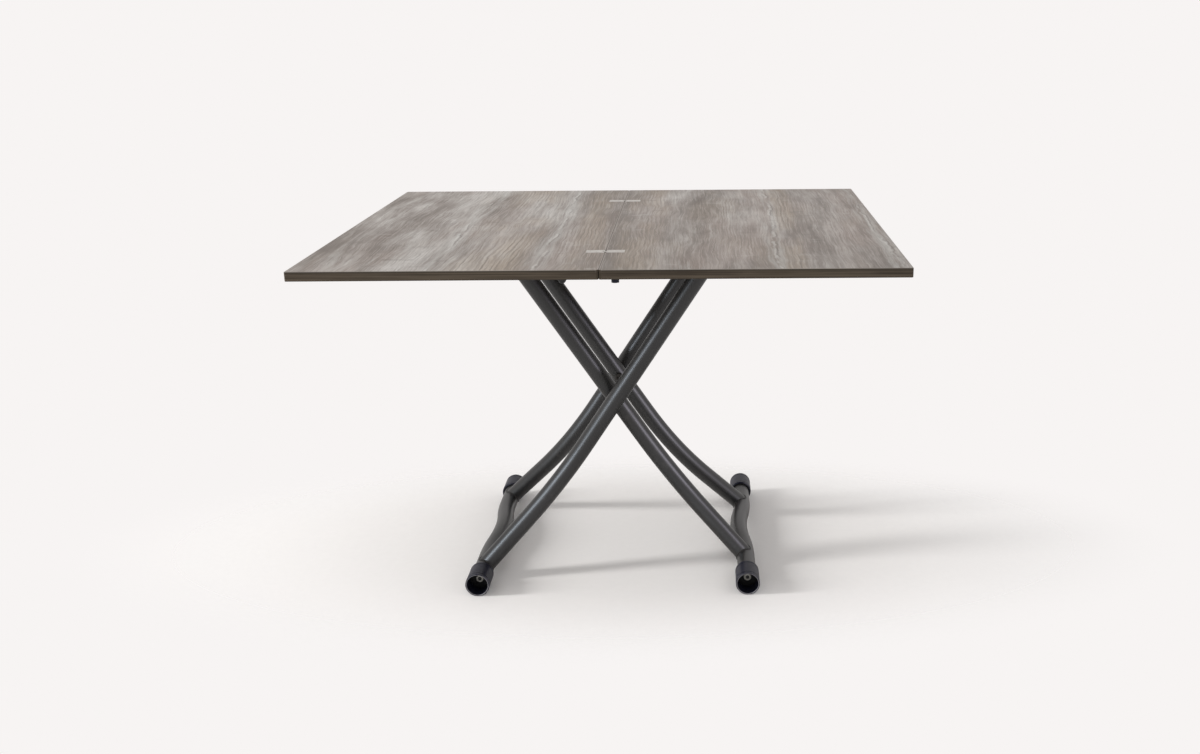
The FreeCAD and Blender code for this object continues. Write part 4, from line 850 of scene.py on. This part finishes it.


# Edging: a thick dark wood-look strip glued round each leaf, with its fine lines along the edge.
# Its upper corner carries a painted highlight, paler at the outside. Along the seam the notch is painted
# lighter like the face, to lift its shade, and the corners at the ends of the seam are painted darker to
# hide their reflection.
top_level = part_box("fixed_leaf")[1].z
leaf_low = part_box("fixed_leaf")[0].z
end_start, end_full = 0.4955, 0.4970
side_start, side_full = 0.003, 0.006
arris_low, arris_high = top_level - 0.0010, top_level - 0.0003
upper_line_low, upper_line_high = top_level - 0.0042, top_level - 0.0026
notch_light_low, notch_light_high = top_level - 0.0060, top_level - 0.0030
foot_low, foot_high = leaf_low + 0.0008, leaf_low + 0.0024
edging, look = new_finish("oak_edging")
place = look.node("ShaderNodeTexCoord", {}, {}, "Object")
line = look.noise(place, (2.5, 2.5, 480), detail=4.0, roughness=0.6)
band = look.noise(place, (1.8, 1.8, 130), detail=2.0, roughness=0.5, start=(2, 2, 5))
patch = look.noise(place, (7, 7, 60), detail=3.0, roughness=0.6, start=(6, 4, 1))
x = look.node("ShaderNodeSeparateXYZ", {}, {"Vector": place}, "X")
height = x.output("Z")
outside = look.rise(abs(x), side_start, side_full)
# Painted highlight: a pale line along the top corner of the edging.
arris_highlight = look.rise(height, arris_low, arris_high)
# A dark line under the pale top corner, and a darker band along the bottom of the edging.
upper_dark_line = look.rise(height, upper_line_low, upper_line_high) - arris_highlight
foot_line = 1 - look.rise(height, foot_low, foot_high)
streaks = look.rise(line * 0.5 + band * 0.25 + patch * 0.25, 0.36, 0.64)
edge_colour = look.blend(streaks, tint(53, 45, 36), tint(99, 88, 75))
edge_colour = look.blend((upper_dark_line + foot_line) * 0.60, edge_colour, tint(50, 44, 38))
arris_highlight_colour = look.blend(outside, tint(136, 127, 120), tint(182, 177, 172))
edge_colour = look.blend(arris_highlight * (0.45 + 0.45 * (1 - outside)), edge_colour, arris_highlight_colour)
# Painted light: in the seam notch the upper edging is coloured like the face, to lift the shade there.
seam_notch_light = look.rise(height, notch_light_low, notch_light_high) * (1 - outside)
# Painted shade: the rounded corners at the ends of the seam are coloured darker, to hide the reflection
# on them.
seam_corner_shade = look.rise(abs(x.output("Y")), end_start, end_full) * (1 - outside)
edge_colour = look.blend(seam_notch_light * (1 - seam_corner_shade) * 0.9, edge_colour, tint(150, 142, 136))
edge_colour = look.blend(seam_corner_shade * 0.8, edge_colour, tint(70, 62, 53))
line_bump = look.node("ShaderNodeBump", {}, {"Strength": 0.2, "Distance": 0.0002, "Height": line})
surface(look, {
    "Base Color": edge_colour,
    "Specular IOR Level": 0.20,
    "Roughness": 0.44 + 0.16 * line + 0.5 * seam_corner_shade,
    "Normal": line_bump,
})
dress(edging, "fixed_leaf_edging", "flip_leaf_edging")


# Hinges: nickel-plated steel plates let in flush across the seam, with a short link and two pins.
# The plates are brushed across the seam and held by countersunk screws.
nickel, look = new_finish("brushed_nickel")
place = look.node("ShaderNodeTexCoord", {}, {}, "Object")
brushing = look.noise(place, (45, 2600, 2600), detail=3.0, roughness=0.6)
stain = look.noise(place, (130, 130, 130), detail=4.0, roughness=0.6)
surface(look, {
    "Base Color": look.blend(stain, tint(150, 145, 138), tint(216, 213, 208)),
    "Metallic": 1.0,
    "Roughness": 0.28 + 0.22 * brushing,
})
dress(
    nickel,
    "fixed_hinge_plates", "flip_hinge_plates", "fixed_hinge_pins", "flip_hinge_pins", "hinge_links",
)
flat_tree = screw_tree("flat_screw", True, 0)
hinge_screw = {
    "Head Radius": 0.0032,
    "Head Height": 0.0017,
    "Shank Radius": 0.0016,
    "Shank Length": 0.013,
    "Recess Reach": 0.0018,
    "Recess Width": 0.0007,
    "Recess Depth": 0.0010,
    "Metal": nickel,
}
screw_spots = [(0.017, 0.329), (0.030, 0.315)]
for node, way, body in (
    ("fixed_hinge_screws", 1, "swivel_top"),
    ("flip_hinge_screws", -1, "flip_leaf"),
):
    seats = [((way * x, side * y, top_level), (0, 0, 1)) for x, y in screw_spots for side in (-1, 1)]
    set_screws(node, flat_tree, hinge_screw, seats, body)


# Turn buttons: small black moulded catches under the fixed leaf that swing under the opened leaf.
# Each turns on one cross-recess screw.
dress(sleeve_plastic, "leaf_catch_front", "leaf_catch_rear")
catch_screw = {
    "Head Radius": 0.0044,
    "Head Height": 0.0025,
    "Head Bevel": 0.0008,
    "Shank Radius": 0.0025,
    "Shank Length": 0.0175,
    "Recess Reach": 0.0023,
    "Recess Width": 0.0009,
    "Recess Depth": 0.0014,
    "Metal": zinc,
}
seats = []
for joint in ("front_catch_turn", "rear_catch_turn"):
    x, y, low = joints[joint]["pos_m"]
    seats.append(((x, y, low + catch_screw["Head Height"]), (0, 0, -1)))
set_screws("catch_screws", cross_tree, catch_screw, seats, "swivel_top")
